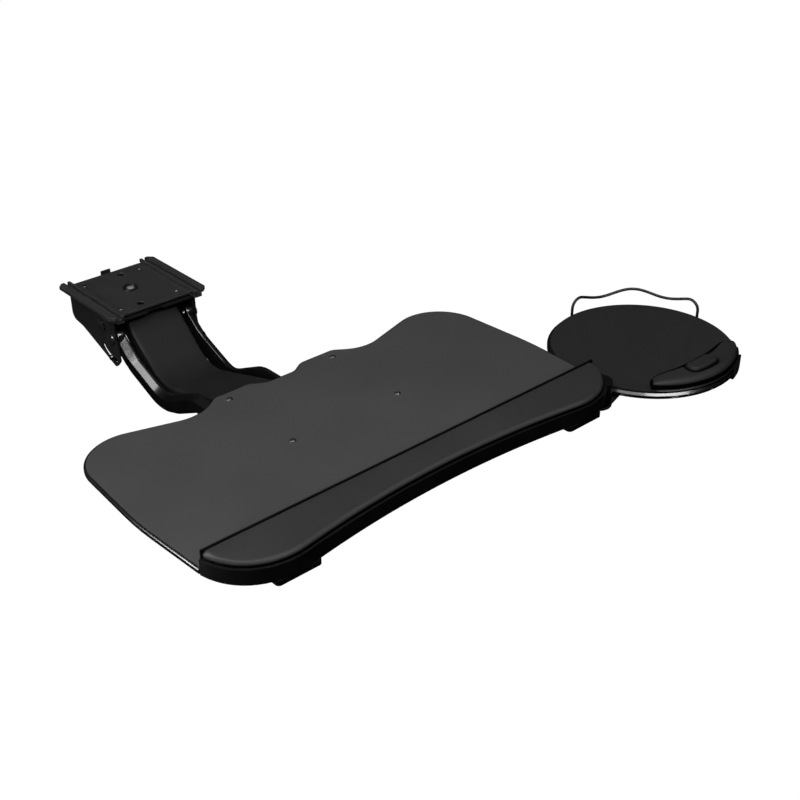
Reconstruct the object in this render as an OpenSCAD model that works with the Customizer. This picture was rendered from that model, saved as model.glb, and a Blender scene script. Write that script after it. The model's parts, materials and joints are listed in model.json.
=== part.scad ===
// Keyboard tray on a height-adjustable arm, hung from two glides that run in a track under a desk.
// Origin: on the swivel axis, level with the glides' top faces. +Y points under the desk, +Z is up.

/* [Glide carriage] */
// Length of each glide along the track
glide_len = 125; // [120:1:140]
// How far the glides' middle lies ahead of the swivel axis
glide_ahead = 4.5; // [0:0.5:6]
// Distance from the swivel axis to a glide's inner face
glide_in = 48.5; // [46:0.5:56]
// Width of a glide
glide_w = 17.5; // [16:0.5:24]
// Height of a glide
glide_h = 9; // [8:0.5:12]
// Thickness of the flange that rides in the track
flange_t = 4; // [3:0.5:4.5]
// Width of the flange that rides in the track
flange_w = 8.5; // [6:0.5:9]
// Width of the inner lip of a glide
lip_w = 3.5; // [3:0.25:4]
// Width of the groove beside the lip
groove_w = 4; // [2:0.5:4.5]
// Depth of that groove
groove_depth = 3.5; // [2:0.25:4]
// Chamfer on the outer corners of the flange ends
flange_chamfer = 6; // [2:0.5:8]
// Length of the glide plate along the track
plate_len = 113; // [108:1:118]
// Thickness of the glide plate
plate_t = 2.5; // [2:0.25:3]
// Depth of the plate's top below the glides' top
plate_drop = 4.5; // [4.25:0.25:5]
// How far the plate's edge sits in each glide
plate_tongue = 4; // [3:0.5:6]
// Radius of the two fixing holes in the plate
fixing_hole_r = 4.5; // [2:0.25:5]
// Fixing hole position across the plate
fixing_x = 12; // [11:0.5:18]
// Fixing hole position along the plate
fixing_y = 42.5; // [38:0.5:48]
// Rivet position across the plate
rivet_x = 38; // [35:0.5:40]
// Rivet position along the plate
rivet_y = 41.5; // [38:0.5:44]
// Radius of a rivet's shank
rivet_r = 1.5; // [1:0.1:2]
// Radius of a rivet's head
rivet_head_r = 2.4; // [2.2:0.1:3]
// Width of the stop at the plate's rear edge
stop_w = 13; // [10:0.5:15]
// Thickness of the stop's strip
stop_t = 2; // [1.5:0.25:2]

/* [Swivel] */
// Radius of the swivel stud
stud_r = 5; // [4:0.25:6]
// Radius of the stud's collar on top of the plate
stud_collar_r = 9.2; // [8:0.2:11]
// Height of the stud's collar above the plate
stud_collar_h = 1.8; // [1:0.1:2.5]
// Radius of the bearing disc under the plate
bearing_r = 32; // [24:1:36]
// Thickness of the bearing disc
bearing_t = 2.4; // [2.4:0.1:3]
// Thickness of the swivel plate
swivel_t = 3; // [2.5:0.25:4]
// Front edge of the swivel plate, ahead of the swivel axis
swivel_front = 57.5; // [56:0.5:60]
// Rear edge of the swivel plate, behind the swivel axis
swivel_rear = 52; // [50:0.5:54]
// Width of the notch in the swivel plate's front edge
notch_w = 20; // [12:1:24]
// Depth of that notch
notch_depth = 3; // [2:0.5:4]
// Distance from the swivel axis to a cheek's inner face
cheek_in = 53.5; // [53:0.25:56]
// Thickness of a cheek
cheek_t = 2.5; // [2:0.25:3]
// Width of the cheek's folded top flange
cheek_flange = 14; // [12:0.5:18]
// Depth of a cheek's rear corner below the swivel plate
cheek_rear_drop = 29; // [26:0.5:31]
// Depth of a cheek's lowest corner below the swivel plate
cheek_low_drop = 60; // [59:0.5:64]

/* [Arm] */
// Arm pivot, ahead of the swivel axis
pivot_ahead = 26; // [25:0.5:28]
// Arm pivot, below the glides' top
pivot_drop = 24; // [23.5:0.5:26]
// Reach of the arm from its rear pivot to its front pivot
arm_reach = 234; // [225:1:245]
// Drop of the arm from its rear pivot to its front pivot, as shown
arm_drop = 20; // [16:0.5:24]
// Width of the channel between its outer edges
channel_w = 69; // [62:0.5:69]
// Thickness of the channel's sheet
channel_t = 2.2; // [1.6:0.1:2.6]
// Depth of the channel's side lips
channel_lip = 15; // [9:0.5:16]
// First bend of the channel, ahead of the rear pivot
channel_bend_ahead = 17.5; // [15:0.5:20]
// First bend of the channel, above the rear pivot
channel_bend_rise = 5; // [3:0.5:5.5]
// Bend radius there
channel_bend_r = 18; // [8:1:22]
// Lowest corner of the channel, ahead of the rear pivot
channel_dip_ahead = 84; // [78:0.5:90]
// Lowest corner of the channel, below the rear pivot
channel_dip = 56; // [52:0.5:60]
// Bend radius at that corner
channel_dip_r = 50; // [40:1:60]
// Outer radius of the barrels rolled at the channel's ends
barrel_r = 8.2; // [7.5:0.1:9]
// Radius of the pivot pins
pin_r = 5; // [4:0.25:5.5]
// Radius of the stop rod
stop_rod_r = 3.2; // [2.5:0.1:3.5]
// Radius of the arc slots that the stop rod runs in
stop_arc_r = 27.5; // [26.5:0.5:28]
// Angle of the stop rod at rest, from the rear, about the side bars' pivot
stop_angle = -78; // [-80:1:-76]
// Travel of the arm upwards
lift_up = 15; // [5:1:15]
// Travel of the arm downwards
lift_down = 35; // [20:1:35]

/* [Side bars] */
// Width of a side bar
bar_w = 10; // [8:0.5:10]
// Height of a side bar
bar_h = 17; // [14:0.5:18]
// Distance from the middle to a side bar's inner face
bar_in = 42.5; // [42:0.25:43]
// Side bar pivots, ahead of the arm pivots
bar_ahead = 18; // [17:0.5:19]
// Side bar pivots, below the arm pivots
bar_below = 12; // [11:0.5:13]
// Bend ahead of the knuckle, ahead of the rear pivot
bar_bend_ahead = 31.5; // [30:0.5:33]
// Bend ahead of the knuckle, below the rear pivot
bar_bend = 26; // [24.5:0.5:27.5]
// Bend radius there
bar_bend_r = 25; // [15:1:30]
// Lowest corner of a side bar, ahead of its rear pivot
bar_dip_ahead = 94.5; // [90:0.5:99]
// Lowest corner of a side bar, below its rear pivot
bar_dip = 52; // [48:0.5:55]
// Bend radius at that corner
bar_dip_r = 52; // [40:1:56]
// Upper corner of a side bar, behind its front pivot
bar_shoulder_back = 74; // [68:0.5:80]
// Bend radius at that corner
bar_shoulder_r = 45; // [30:1:60]
// Radius of the eye at a side bar's front end
bar_eye_r = 11; // [9:0.25:12]
// Radius of the knuckle round the rear pivot
knuckle_r = 9.5; // [9:0.25:10.5]
// Length of the knuckle from its pivot to the bar
knuckle_len = 34; // [28:0.5:35]
// How far the knuckle stands above and below the bar
knuckle_step = 1.5; // [0.5:0.25:2.5]

/* [Lift springs] */
// Mean radius of a lift spring's coil
spring_r = 7; // [6.8:0.1:7.2]
// Diameter of a lift spring's wire
spring_wire = 2.2; // [1.6:0.1:2.4]
// Turns of a lift spring
spring_turns = 5; // [3:1:5]
// Length of a lift spring's coil
spring_len = 16; // [15:0.5:16.5]
// Length of a lift spring's legs
spring_leg = 14; // [8:0.5:16]

/* [Tilt head] */
// Tilt axis, ahead of the arm's front pivot
tilt_ahead = 63; // [59:0.5:67]
// Tilt axis, above the arm's front pivot
tilt_rise = 10; // [8:0.5:11]
// Distance from the middle to a head plate's inner face
head_in = 29.5; // [29.5:0.25:30]
// Thickness of the head's side plates
head_t = 4; // [3:0.25:4.25]
// Radius of the head and the bracket's ears round the tilt axis
head_r = 12; // [10:0.5:13]
// Radius of the head's plates round the arm and bar pins
head_lug_r = 9.5; // [8.5:0.25:10]
// Tilt axis, below the board's top
tilt_depth = 34; // [32:0.5:38]
// Radius of the tilt knob
knob_r = 16; // [13:0.5:17]
// Length of the tilt knob
knob_len = 19; // [14:0.5:24]
// Lobes of the tilt knob
knob_lobes = 7; // [5:1:9]

/* [Board] */
// Width of the board at its widest
board_w = 504; // [480:1:540]
// Thickness of the board
board_t = 6.4; // [5:0.2:8]
// Length of the board behind the palm rest, at the ears
board_len = 225; // [218:1:234]
// Radius of the board's rear corners
rear_corner_r = 52; // [36:1:54]
// Radius of the board's front corners
front_corner_r = 78; // [60:1:84]
// How far the board narrows on each side towards the front
front_in = 5; // [3:0.5:8]
// Radius of the hollow front edge
front_sweep_r = 1040; // [900:10:1400]
// Distance between the screws across the board
screw_span_x = 135; // [130:1:144]
// Distance between the screws along the board
screw_span_y = 105; // [100:1:116]
// Rear screws, ahead of the ears' edge
screw_inset = 14.5; // [12:0.5:18]
// Rear screws, behind the tilt axis
screw_behind_tilt = 21; // [18:0.5:24]
// Radius of a board screw's shank
screw_r = 2.5; // [2:0.1:3]
// Radius of a board screw's domed head
screw_head_r = 3.6; // [3.2:0.1:5]
// Height of a board screw's domed head
screw_head_h = 2.2; // [1.5:0.1:3]
// Thickness of the bracket under the board
bracket_t = 3; // [2.5:0.25:4]
// How far the bracket reaches past the screws
bracket_margin = 13; // [11:0.5:16]

/* [Palm rest] */
// Depth of the palm rest in the middle
palm_depth = 37; // [33:0.5:42]
// Height of the palm rest's rear edge above the board
palm_h = 20.5; // [18:0.5:24]
// Height of the palm rest above the board where its front edge starts to round
palm_front_h = 15.5; // [14:0.5:18]
// Thickness of the palm rest's base on the board
palm_base_t = 2.5; // [2:0.25:4]
// Height of the base's front wall above the board
palm_wall_h = 9.5; // [6:0.5:10]
// Thickness of that wall
palm_wall_t = 2.5; // [2:0.25:3.5]
// Height of the base's rear lip above the board
palm_lip_h = 19; // [12:0.5:19.5]
// Thickness of that lip
palm_lip_t = 1.2; // [0.8:0.1:2]
// Radius of the palm pad's front edge
palm_edge_r = 5; // [2:0.25:6]
// Length of a palm rest clip
clip_len = 48; // [36:1:60]
// Distance between the middles of the clips
clip_span = 360; // [330:2:380]
// Front of a clip, behind the board's front edge
clip_back = 0.72; // [0:0.02:3]
// Thickness of a clip below the board
clip_t = 5; // [4:0.5:8]
// Depth of a clip from front to back
clip_depth = 20; // [16:0.5:24]

/* [Mouse platform] */
// Reach of the mouse arm past its boss, to the platform's rim
mouse_reach = 1.5; // [1:0.25:8]
// Direction of the mouse arm, turned from the board's cross direction
mouse_angle = 16.5; // [12:0.5:20]
// Mouse arm pivot, inside the board's side edge
mouse_pivot_in = 1.5; // [0:0.5:5]
// Mouse arm pivot, ahead of the palm rest's rear edge
mouse_pivot_ahead = 7; // [4:0.5:10]
// Radius of the boss that carries the mouse arm
mouse_boss_r = 15; // [12:0.5:16]
// Radius of the mouse arm's pivot bolt
mouse_bolt_r = 6; // [5:0.25:7]
// Width of the mouse arm
mouse_arm_w = 32; // [26:0.5:36]
// Thickness of the mouse arm
mouse_arm_t = 3; // [3:0.25:5]
// Radius of the mouse platform
platform_r = 107; // [104:0.5:110]
// Height of the platform from its underside to its surface
platform_h = 9; // [9:0.5:12]
// Mouse surface, below the board's top
platform_drop = 20; // [19:0.5:24]
// Thickness of the mouse surface
surface_t = 2.5; // [1.5:0.25:3]
// Width of the platform's bare rim
rim_w = 3.6; // [3.6:0.1:5]
// Thickness of the platform's deck
deck_t = 3; // [2.5:0.25:4]
// Ribs under the platform
rib_count = 8; // [4:1:12]
// Diameter of the fence wire
fence_wire = 3; // [2:0.1:3.2]
// Mean height of the fence above the mouse surface
fence_h = 16.4; // [14:0.2:20]
// Height of the fence's waves above and below that
fence_wave = 3.9; // [2:0.1:5]
// Angle that the fence spans
fence_span = 88.5; // [70:0.5:95]
// Direction of the fence's middle from the platform's middle
fence_mid = 46; // [42:1:52]
// Direction of the mouse palm rest's middle from the platform's middle
mouse_palm_mid = 270; // [264:1:276]
// Angle that the mouse palm rest spans
mouse_palm_span = 93; // [80:1:96]
// Direction at which the hook round the rim starts, from the mouse palm rest's middle
hook_from = 14; // [8:1:18]
// Angle that the hook spans
hook_span = 20; // [14:1:24]
// Depth of the mouse palm rest in the middle
mouse_palm_depth = 38; // [30:0.5:42]
// Depth of the mouse palm rest near its ends
mouse_palm_end_depth = 23; // [16:0.5:26]
// Height of the mouse palm rest above its clip
mouse_palm_h = 10; // [7:0.5:12]
// Height of the raised button on the mouse palm rest
button_h = 3.5; // [2:0.25:5]

/* [Hidden] */
$fn = 64;
fit = 0.05; // running clearance round pins and bolts
gap = 0.3; // clearance between moving neighbours
eps = 0.01;
arc_step = 5; // degrees between points on a bent outline
stop_margin = 4; // degrees of slot beyond the stop rod's travel

plate_top = -plate_drop;
plate_bottom = plate_top - plate_t;
glide_out = glide_in + glide_w;
glide_body_out = glide_out - flange_w;
foot_t = glide_h + plate_bottom;
foot_len = 15;
foot_w = glide_in - rivet_x + 5;
glide_front = -glide_ahead - glide_len/2;
glide_rear = glide_front + glide_len;
rivet_head_h = 1;
swivel_top = min(plate_bottom - bearing_t - 0.1, -glide_h - 0.5);
swivel_bottom = swivel_top - swivel_t;
washer_t = 1.5;
washer_r = 14;
nut_h = 7;
nut_flats = 17;

pivot = [-pivot_ahead, -pivot_drop];
front_pivot = pivot + [-arm_reach, -arm_drop];
bar_offset = [-bar_ahead, -bar_below];
bar_pivot = pivot + bar_offset;
bar_front = front_pivot + bar_offset;
tilt = front_pivot + [-tilt_ahead, tilt_rise];
bar_out = bar_in + bar_w;
cheek_out = cheek_in + cheek_t;
spring_in = cheek_in - spring_len - spring_wire/2 - 0.6;
head_out = head_in + head_t;
ear_in = head_out + 1.2;
ear_t = 3;
ear_out = ear_in + ear_t;
pin_head_r = pin_r + 2.2;
pin_head_h = 2.5;

board_top = tilt[1] + tilt_depth;
board_bottom = board_top - board_t;
bracket_bottom = board_bottom - bracket_t;
rear_row = tilt[0] + screw_behind_tilt;
board_y = rear_row + screw_inset - board_len; // the palm rest's straight rear edge
front_row = rear_row - screw_span_y;
board_half = board_w/2;
board_nut_h = 4;
board_nut_flats = 8;

mouse_pivot = [board_half - mouse_pivot_in, board_y - mouse_pivot_ahead];
mouse_mid = mouse_pivot + (mouse_boss_r + mouse_reach + platform_r)*[cos(mouse_angle), sin(mouse_angle)];
surface_top = board_top - platform_drop;
surface_bottom = surface_top - surface_t;
platform_bottom = surface_top - platform_h;
rim_lip_t = 1.2; // lip of the mouse palm rest's clip under the rim
mouse_arm_top = platform_bottom - gap - rim_lip_t - 1.2;
mouse_arm_bottom = mouse_arm_top - mouse_arm_t;
hub_r = 21;
hub_screw_pcd = 26;
hub_screw_r = 2;
surface_r = platform_r - rim_w;
fence_r = platform_r - rim_w/2;
palm_clip_t = 1.6;
palm_clip_wall = 1.2;
pad_floor = surface_top + gap + palm_clip_t;

// Outlines: a corner list holds [x, y, fillet radius], and a fillet is an arc tangent to both edges
function unit(v) = v/norm(v);
function xy(p) = [p[0], p[1]];
function corner_arc(a, b, c, r) =
    let(u = unit(a - b), v = unit(c - b), angle = acos(max(-1, min(1, u*v))))
    angle > 179.9 || r <= 0 ? [b] :
    let(t = r/tan(angle/2), mid = b + unit(u + v)*r/sin(angle/2), s = b + u*t - mid, e = b + v*t - mid,
        from = atan2(s[1], s[0]), sweep = (atan2(e[1], e[0]) - from + 540) % 360 - 180,
        n = max(2, ceil(abs(sweep)/arc_step)))
    [for (i = [0:n]) mid + r*[cos(from + sweep*i/n), sin(from + sweep*i/n)]];
function fillet_path(p) = let(n = len(p) - 1) [for (i = [0:n])
    each (i == 0 || i == n) ? [xy(p[i])] : corner_arc(xy(p[i - 1]), xy(p[i]), xy(p[i + 1]), p[i][2])];
function fillet_loop(p) = let(n = len(p)) [for (i = [0:n - 1])
    each corner_arc(xy(p[(i + n - 1) % n]), xy(p[i]), xy(p[(i + 1) % n]), p[i][2])];
function normal_at(p, i) = let(u = unit(p[min(len(p) - 1, i + 1)] - p[max(0, i - 1)])) [-u[1], u[0]];
function shifted(p, d) = [for (i = [0:len(p) - 1]) p[i] + d*normal_at(p, i)];
function reversed(p) = [for (i = [len(p) - 1:-1:0]) p[i]];
function flipped(p) = [for (i = [len(p) - 1:-1:0]) [-p[i][0], p[i][1]]];
// A strip along a path, reaching so far to the left of its direction and so far to the right
function band(p, left, right) = concat(shifted(p, left), reversed(shifted(p, -right)));
function polar(r, a) = r*[cos(a), sin(a)];

// Lofts: rings of n points each, walked so that the walls face outwards, closed by a fan at both ends
function loft_faces(rings, n) = concat(
    [for (i = [0:rings - 2]) for (k = [0:n - 1]) let(m = (k + 1) % n)
        each [[i*n + k, (i + 1)*n + k, (i + 1)*n + m], [i*n + k, (i + 1)*n + m, i*n + m]]],
    [for (k = [1:n - 2]) [0, k, k + 1]],
    [for (k = [1:n - 2]) let(b = (rings - 1)*n) [b, b + k + 1, b + k]]);
module loft(rings) {
    n = len(rings[0]);
    polyhedron([for (ring = rings) each ring], loft_faces(len(rings), n), convexity = 6);
}
// A round tube along 3-D points, each with a side direction square to the path
function tube_rings(p, sides_to, r, n) = [for (i = [0:len(p) - 1])
    let(t = unit(p[min(len(p) - 1, i + 1)] - p[max(0, i - 1)]), u = unit(sides_to[i] - t*(t*sides_to[i])),
        w = cross(t, u))
    [for (k = [0:n - 1]) p[i] + r*(cos(360*k/n)*u + sin(360*k/n)*w)]];

// Placing: a profile in (Y, Z) drawn out along X, one in (X, Z) along Y, and rods along X
module along_x(x0, x1) { translate([x0, 0, 0]) rotate([90, 0, 90]) linear_extrude(x1 - x0) children(); }
module along_y(y0, y1) { translate([0, y1, 0]) rotate([90, 0, 0]) linear_extrude(y1 - y0) children(); }
module from_z(z0, z1) { translate([0, 0, z0]) linear_extrude(z1 - z0) children(); }
module rod_x(p, x0, x1, r) { translate([x0, p[0], p[1]]) rotate([0, 90, 0]) cylinder(r = r, h = x1 - x0); }
module hex_x(p, x0, x1, flats) {
    translate([x0, p[0], p[1]]) rotate([0, 90, 0]) cylinder(d = flats/cos(30), h = x1 - x0, $fn = 6);
}
module post(p, z0, z1, r) { translate([p[0], p[1], z0]) cylinder(r = r, h = z1 - z0); }
module dome(p, z, r, h) {
    ball = (r*r + h*h)/(2*h);
    translate([p[0], p[1], z]) intersection() {
        translate([0, 0, h - ball]) sphere(ball);
        cylinder(r = r + 1, h = h + 1);
    }
}
module both_sides() {
    children();
    mirror([1, 0, 0]) children();
}
module four_corners(x, y) { for (sx = [-1, 1]) for (sy = [-1, 1]) translate([sx*x, sy*y, 0]) children(); }
module plate_between(points, r) {
    for (p = points) translate(p) circle(r);
    polygon([for (i = [0:len(points) - 1]) let(a = points[i], b = points[(i + 1) % len(points)],
        d = unit(b - a), out = r*[d[1], -d[0]]) each [a + out, b + out]]);
}

// Glide carriage
module glide_plate() {
    color("#383838") difference() {
        translate([-glide_in - plate_tongue, -plate_len/2, plate_bottom])
            cube([2*(glide_in + plate_tongue), plate_len, plate_t]);
        post([0, 0], plate_bottom - 1, plate_top + 1, stud_r + fit);
        for (s = [-1, 1]) post([s*fixing_x, s*fixing_y], plate_bottom - 1, plate_top + 1, fixing_hole_r);
        four_corners(rivet_x, rivet_y) post([0, 0], plate_bottom - 1, plate_top + 1, rivet_r + fit);
    }
}
module glide() {
    groove = glide_in + lip_w;
    difference() {
        union() {
            intersection() {
                along_y(glide_front, glide_rear) difference() {
                    polygon([[glide_in, -glide_h], [glide_body_out, -glide_h], [glide_body_out, -flange_t],
                        [glide_out, -flange_t], [glide_out, 0], [groove + groove_w, 0],
                        [groove + groove_w, -groove_depth], [groove, -groove_depth], [groove, 0], [glide_in, 0]]);
                    translate([glide_in - 1, plate_bottom]) square([plate_tongue + 1, plate_t]);
                }
                from_z(-glide_h - 1, 1) polygon([[glide_in - 1, glide_front],
                    [glide_out - flange_chamfer, glide_front], [glide_out, glide_front + flange_chamfer],
                    [glide_out, glide_rear - flange_chamfer], [glide_out - flange_chamfer, glide_rear],
                    [glide_in - 1, glide_rear]]);
            }
            for (s = [-1, 1]) translate([glide_in - foot_w, s*rivet_y - foot_len/2, -glide_h])
                cube([foot_w + 1, foot_len, foot_t]);
        }
        for (s = [-1, 1]) post([rivet_x, s*rivet_y], -glide_h - 1, 1, rivet_r + fit);
    }
}
module left_glide() { color("#2e2e2e") mirror([1, 0, 0]) glide(); }
module right_glide() { color("#2e2e2e") glide(); }
module glide_rivets() {
    color("#8a8a8a") four_corners(rivet_x, rivet_y) {
        post([0, 0], -glide_h, plate_top + eps, rivet_r);
        dome([0, 0], plate_top, rivet_head_r, rivet_head_h);
    }
}
module rear_stop() {
    foot = 12;
    color("#1c1c1c") translate([-stop_w/2, plate_len/2 - foot, plate_bottom - stop_t]) {
        cube([stop_w, foot + stop_t, stop_t]);
        translate([0, foot, 0]) cube([stop_w, stop_t, plate_drop + plate_t + stop_t - gap]);
    }
}
module swivel_stud() {
    recess_r = stud_collar_r - 2.6;
    recess_depth = stud_collar_h*0.7;
    color("#585858") {
        difference() {
            post([0, 0], plate_top, plate_top + stud_collar_h, stud_collar_r);
            post([0, 0], plate_top + stud_collar_h - recess_depth, plate_top + stud_collar_h + 1, recess_r);
        }
        post([0, 0], swivel_bottom - washer_t - nut_h - 1, plate_top + stud_collar_h - recess_depth + eps, stud_r);
        dome([0, 0], plate_top + stud_collar_h - recess_depth, stud_r, recess_depth);
    }
}
module stud_washer() {
    color("#6a6a6a") difference() {
        post([0, 0], swivel_bottom - 0.1 - washer_t, swivel_bottom - 0.1, washer_r);
        post([0, 0], swivel_bottom - washer_t - 2, swivel_bottom + 1, stud_r + fit);
    }
}
module stud_nut() {
    top = swivel_bottom - 0.1 - washer_t;
    color("#6a6a6a") difference() {
        translate([0, 0, top - nut_h]) cylinder(d = nut_flats/cos(30), h = nut_h, $fn = 6);
        post([0, 0], top - nut_h - 1, top + 1, stud_r + fit);
    }
}

// Swivel bracket
module swivel_bearing() {
    color("#d8d4c8") difference() {
        post([0, 0], swivel_top, swivel_top + bearing_t, bearing_r);
        post([0, 0], swivel_top - 1, swivel_top + bearing_t + 1, stud_r + fit);
    }
}
cheek_rivet_x = cheek_in - cheek_flange/2;
cheek_rivet_y = [-34, 26];
module swivel_plate() {
    edge = cheek_out;
    color("#303030") difference() {
        from_z(swivel_bottom, swivel_top) polygon(fillet_loop([[-edge, -swivel_front, 4], [-notch_w/2, -swivel_front, 2],
            [-notch_w/2, notch_depth - swivel_front, 3], [notch_w/2, notch_depth - swivel_front, 3],
            [notch_w/2, -swivel_front, 2], [edge, -swivel_front, 4], [edge, swivel_rear, 10], [-edge, swivel_rear, 10]]));
        post([0, 0], swivel_bottom - 1, swivel_top + 1, stud_r + fit);
        for (x = [-cheek_rivet_x, cheek_rivet_x]) for (y = cheek_rivet_y)
            post([x, y], swivel_bottom - 1, swivel_top + 1, rivet_r + fit);
    }
}
module cheek() {
    rear = swivel_rear - 5;
    low = swivel_bottom - cheek_low_drop;
    front = bar_pivot[0] - pin_r - 4;
    slot_from = stop_angle - lift_up - stop_margin;
    slot_to = stop_angle + lift_down + stop_margin;
    slot_half = stop_rod_r + gap;
    difference() {
        union() {
            along_x(cheek_in, cheek_out) polygon(fillet_loop([[rear, swivel_bottom, 0],
                [rear, swivel_bottom - cheek_rear_drop, 10], [rear - 24, swivel_bottom - cheek_rear_drop - 4, 25],
                [bar_pivot[0] - 3, low, 4], [front - 5, low + 11, 6], [front, bar_pivot[1], 8],
                [front, swivel_bottom, 0]]));
            translate([cheek_in - cheek_flange, cheek_rivet_y[0] - 10, swivel_bottom - cheek_t])
                cube([cheek_flange + eps, cheek_rivet_y[1] - cheek_rivet_y[0] + 20, cheek_t]);
        }
        rod_x(pivot, cheek_in - 1, cheek_out + 1, pin_r + fit);
        rod_x(bar_pivot, cheek_in - 1, cheek_out + 1, pin_r + fit);
        along_x(cheek_in - 1, cheek_out + 1) translate(bar_pivot) difference() {
            union() {
                intersection() {
                    circle(stop_arc_r + slot_half);
                    polygon(concat([[0, 0]], [for (i = [0:4])
                        polar(2*stop_arc_r, slot_from + (slot_to - slot_from)*i/4)]));
                }
                for (a = [slot_from, slot_to]) translate(polar(stop_arc_r, a)) circle(slot_half);
            }
            difference() {
                circle(stop_arc_r - slot_half);
                for (a = [slot_from, slot_to]) translate(polar(stop_arc_r, a)) circle(slot_half);
            }
        }
        for (y = cheek_rivet_y) post([cheek_rivet_x, y], swivel_bottom - cheek_t - 1, swivel_bottom + 1, rivet_r + fit);
    }
}
module left_cheek() { color("#1a1a1a") mirror([1, 0, 0]) cheek(); }
module right_cheek() { color("#1a1a1a") cheek(); }
module cheek_rivets() {
    color("#3c3c3c") both_sides() for (y = cheek_rivet_y) {
        post([cheek_rivet_x, y], swivel_bottom - cheek_t - 1.4, swivel_top, rivet_r);
        post([cheek_rivet_x, y], swivel_bottom - cheek_t - 1.4, swivel_bottom - cheek_t, rivet_head_r);
    }
}
// A headed pin along X with a snap ring at its far end
module headed_pin(p, x0, x1) {
    rod_x(p, x0 - pin_head_h, x0, pin_head_r);
    rod_x(p, x0 - eps, x1 + 1.8, pin_r);
    rod_x(p, x1 + 0.1, x1 + 1.2, pin_r + 1.6);
}
module arm_pivot_pin() { color("#4a4a4a") headed_pin(pivot, -cheek_out - 0.1, cheek_out + 0.1); }
module rear_bar_pins() {
    color("#4a4a4a") both_sides() mirror([1, 0, 0]) headed_pin(bar_pivot, -cheek_out - 0.1, -bar_in + 0.1);
}
// The coil winds at a steady pitch about the arm pivot; each end runs on straight as a leg
spring_steps = 12*spring_turns;
spring_coil = [for (i = [0:spring_steps]) let(a = 90 + 360*i/12)
    [spring_in + spring_wire/2 + (spring_len - spring_wire)*i/spring_steps,
     pivot[0] + spring_r*cos(a), pivot[1] + spring_r*sin(a)]];
// Least gap of the spring to itself, measured between points at least three quarters of a turn apart
spring_gap = min([for (i = [0:spring_steps - 9], j = [i + 9:spring_steps])
    norm(spring_coil[i] - spring_coil[j])]) - spring_wire;
echo(lift_spring_least_gap = spring_gap);
module lift_spring() {
    steps = spring_steps;
    coil = spring_coil;
    legs = [[1, 0], [1, 0]];
    out_to = [for (i = [0:steps]) let(a = 90 + 360*i/12) [0, cos(a), sin(a)]];
    lead = [for (d = [spring_leg, spring_leg/2]) coil[0] + d*[0, 1, 0]];
    tail = [for (d = [spring_leg/2, spring_leg]) coil[steps] + d*[0, -1, 0]];
    path = concat(lead, coil, tail);
    sides_to = concat([for (l = legs) [0, 0, 1]], out_to, [for (l = legs) [0, 0, 1]]);
    loft(tube_rings(path, sides_to, spring_wire/2, 6));
}
module left_lift_spring() { color("#6e6e6e") mirror([1, 0, 0]) lift_spring(); }
module right_lift_spring() { color("#6e6e6e") lift_spring(); }

// Arm: a pressed channel whose ends roll into barrels round the pivot pins
channel_seat = [0, barrel_r - 0.5]; // the sheet runs into each barrel a little below its crown
channel_path = fillet_path([front_pivot + channel_seat,
    concat(pivot + [-channel_dip_ahead, -channel_dip], channel_dip_r),
    concat(pivot + [-channel_bend_ahead, channel_bend_rise], channel_bend_r), pivot + channel_seat]);
channel_narrow_y = front_pivot[0] + head_lug_r + 4;
module arm_channel() {
    half = channel_w/2;
    neck = head_in - 1;
    color("#1e1e1e") difference() {
        union() {
            intersection() {
                union() {
                    along_x(-half, half) polygon(band(channel_path, 0, channel_t));
                    for (x = [-half, half - channel_t]) along_x(x, x + channel_t)
                        polygon(band(channel_path, 0, channel_lip));
                }
                from_z(-500, 500) polygon([[-half, pivot[0]], [-half, channel_narrow_y], [-neck, channel_narrow_y - 2.5],
                    [-neck, front_pivot[0]], [neck, front_pivot[0]], [neck, channel_narrow_y - 2.5],
                    [half, channel_narrow_y], [half, pivot[0]]]);
            }
            rod_x(pivot, -half, half, barrel_r);
            rod_x(front_pivot, -neck, neck, barrel_r);
        }
        rod_x(pivot, -half - 1, half + 1, pin_r + fit);
        rod_x(front_pivot, -half - 1, half + 1, pin_r + fit);
    }
}
// Side bars: S-shaped bars that keep the head level
bar_dir = unit([-bar_bend_ahead, -bar_bend]);
bar_start = bar_pivot + knuckle_len*bar_dir;
bar_path = fillet_path([bar_start, concat(bar_pivot + [-bar_bend_ahead, -bar_bend], bar_bend_r),
    concat(bar_pivot + [-bar_dip_ahead, -bar_dip], bar_dip_r),
    concat(bar_front + [bar_shoulder_back, 0], bar_shoulder_r), bar_front + [4, 0]]);
bar_boss_r = pin_r + 3;
module side_bar() {
    difference() {
        union() {
            along_x(bar_in, bar_out) polygon(band(bar_path, bar_h/2, bar_h/2));
            rod_x(bar_front, bar_in, bar_out, bar_eye_r);
            rod_x(bar_front, head_out + gap, bar_in + eps, bar_boss_r);
        }
        rod_x(bar_front, head_out, bar_out + 1, pin_r + fit);
    }
}
stop_point = bar_pivot + polar(stop_arc_r, stop_angle);
module stop_rod() { color("#4a4a4a") rod_x(stop_point, -cheek_out - 2, cheek_out + 2, stop_rod_r); }
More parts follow.
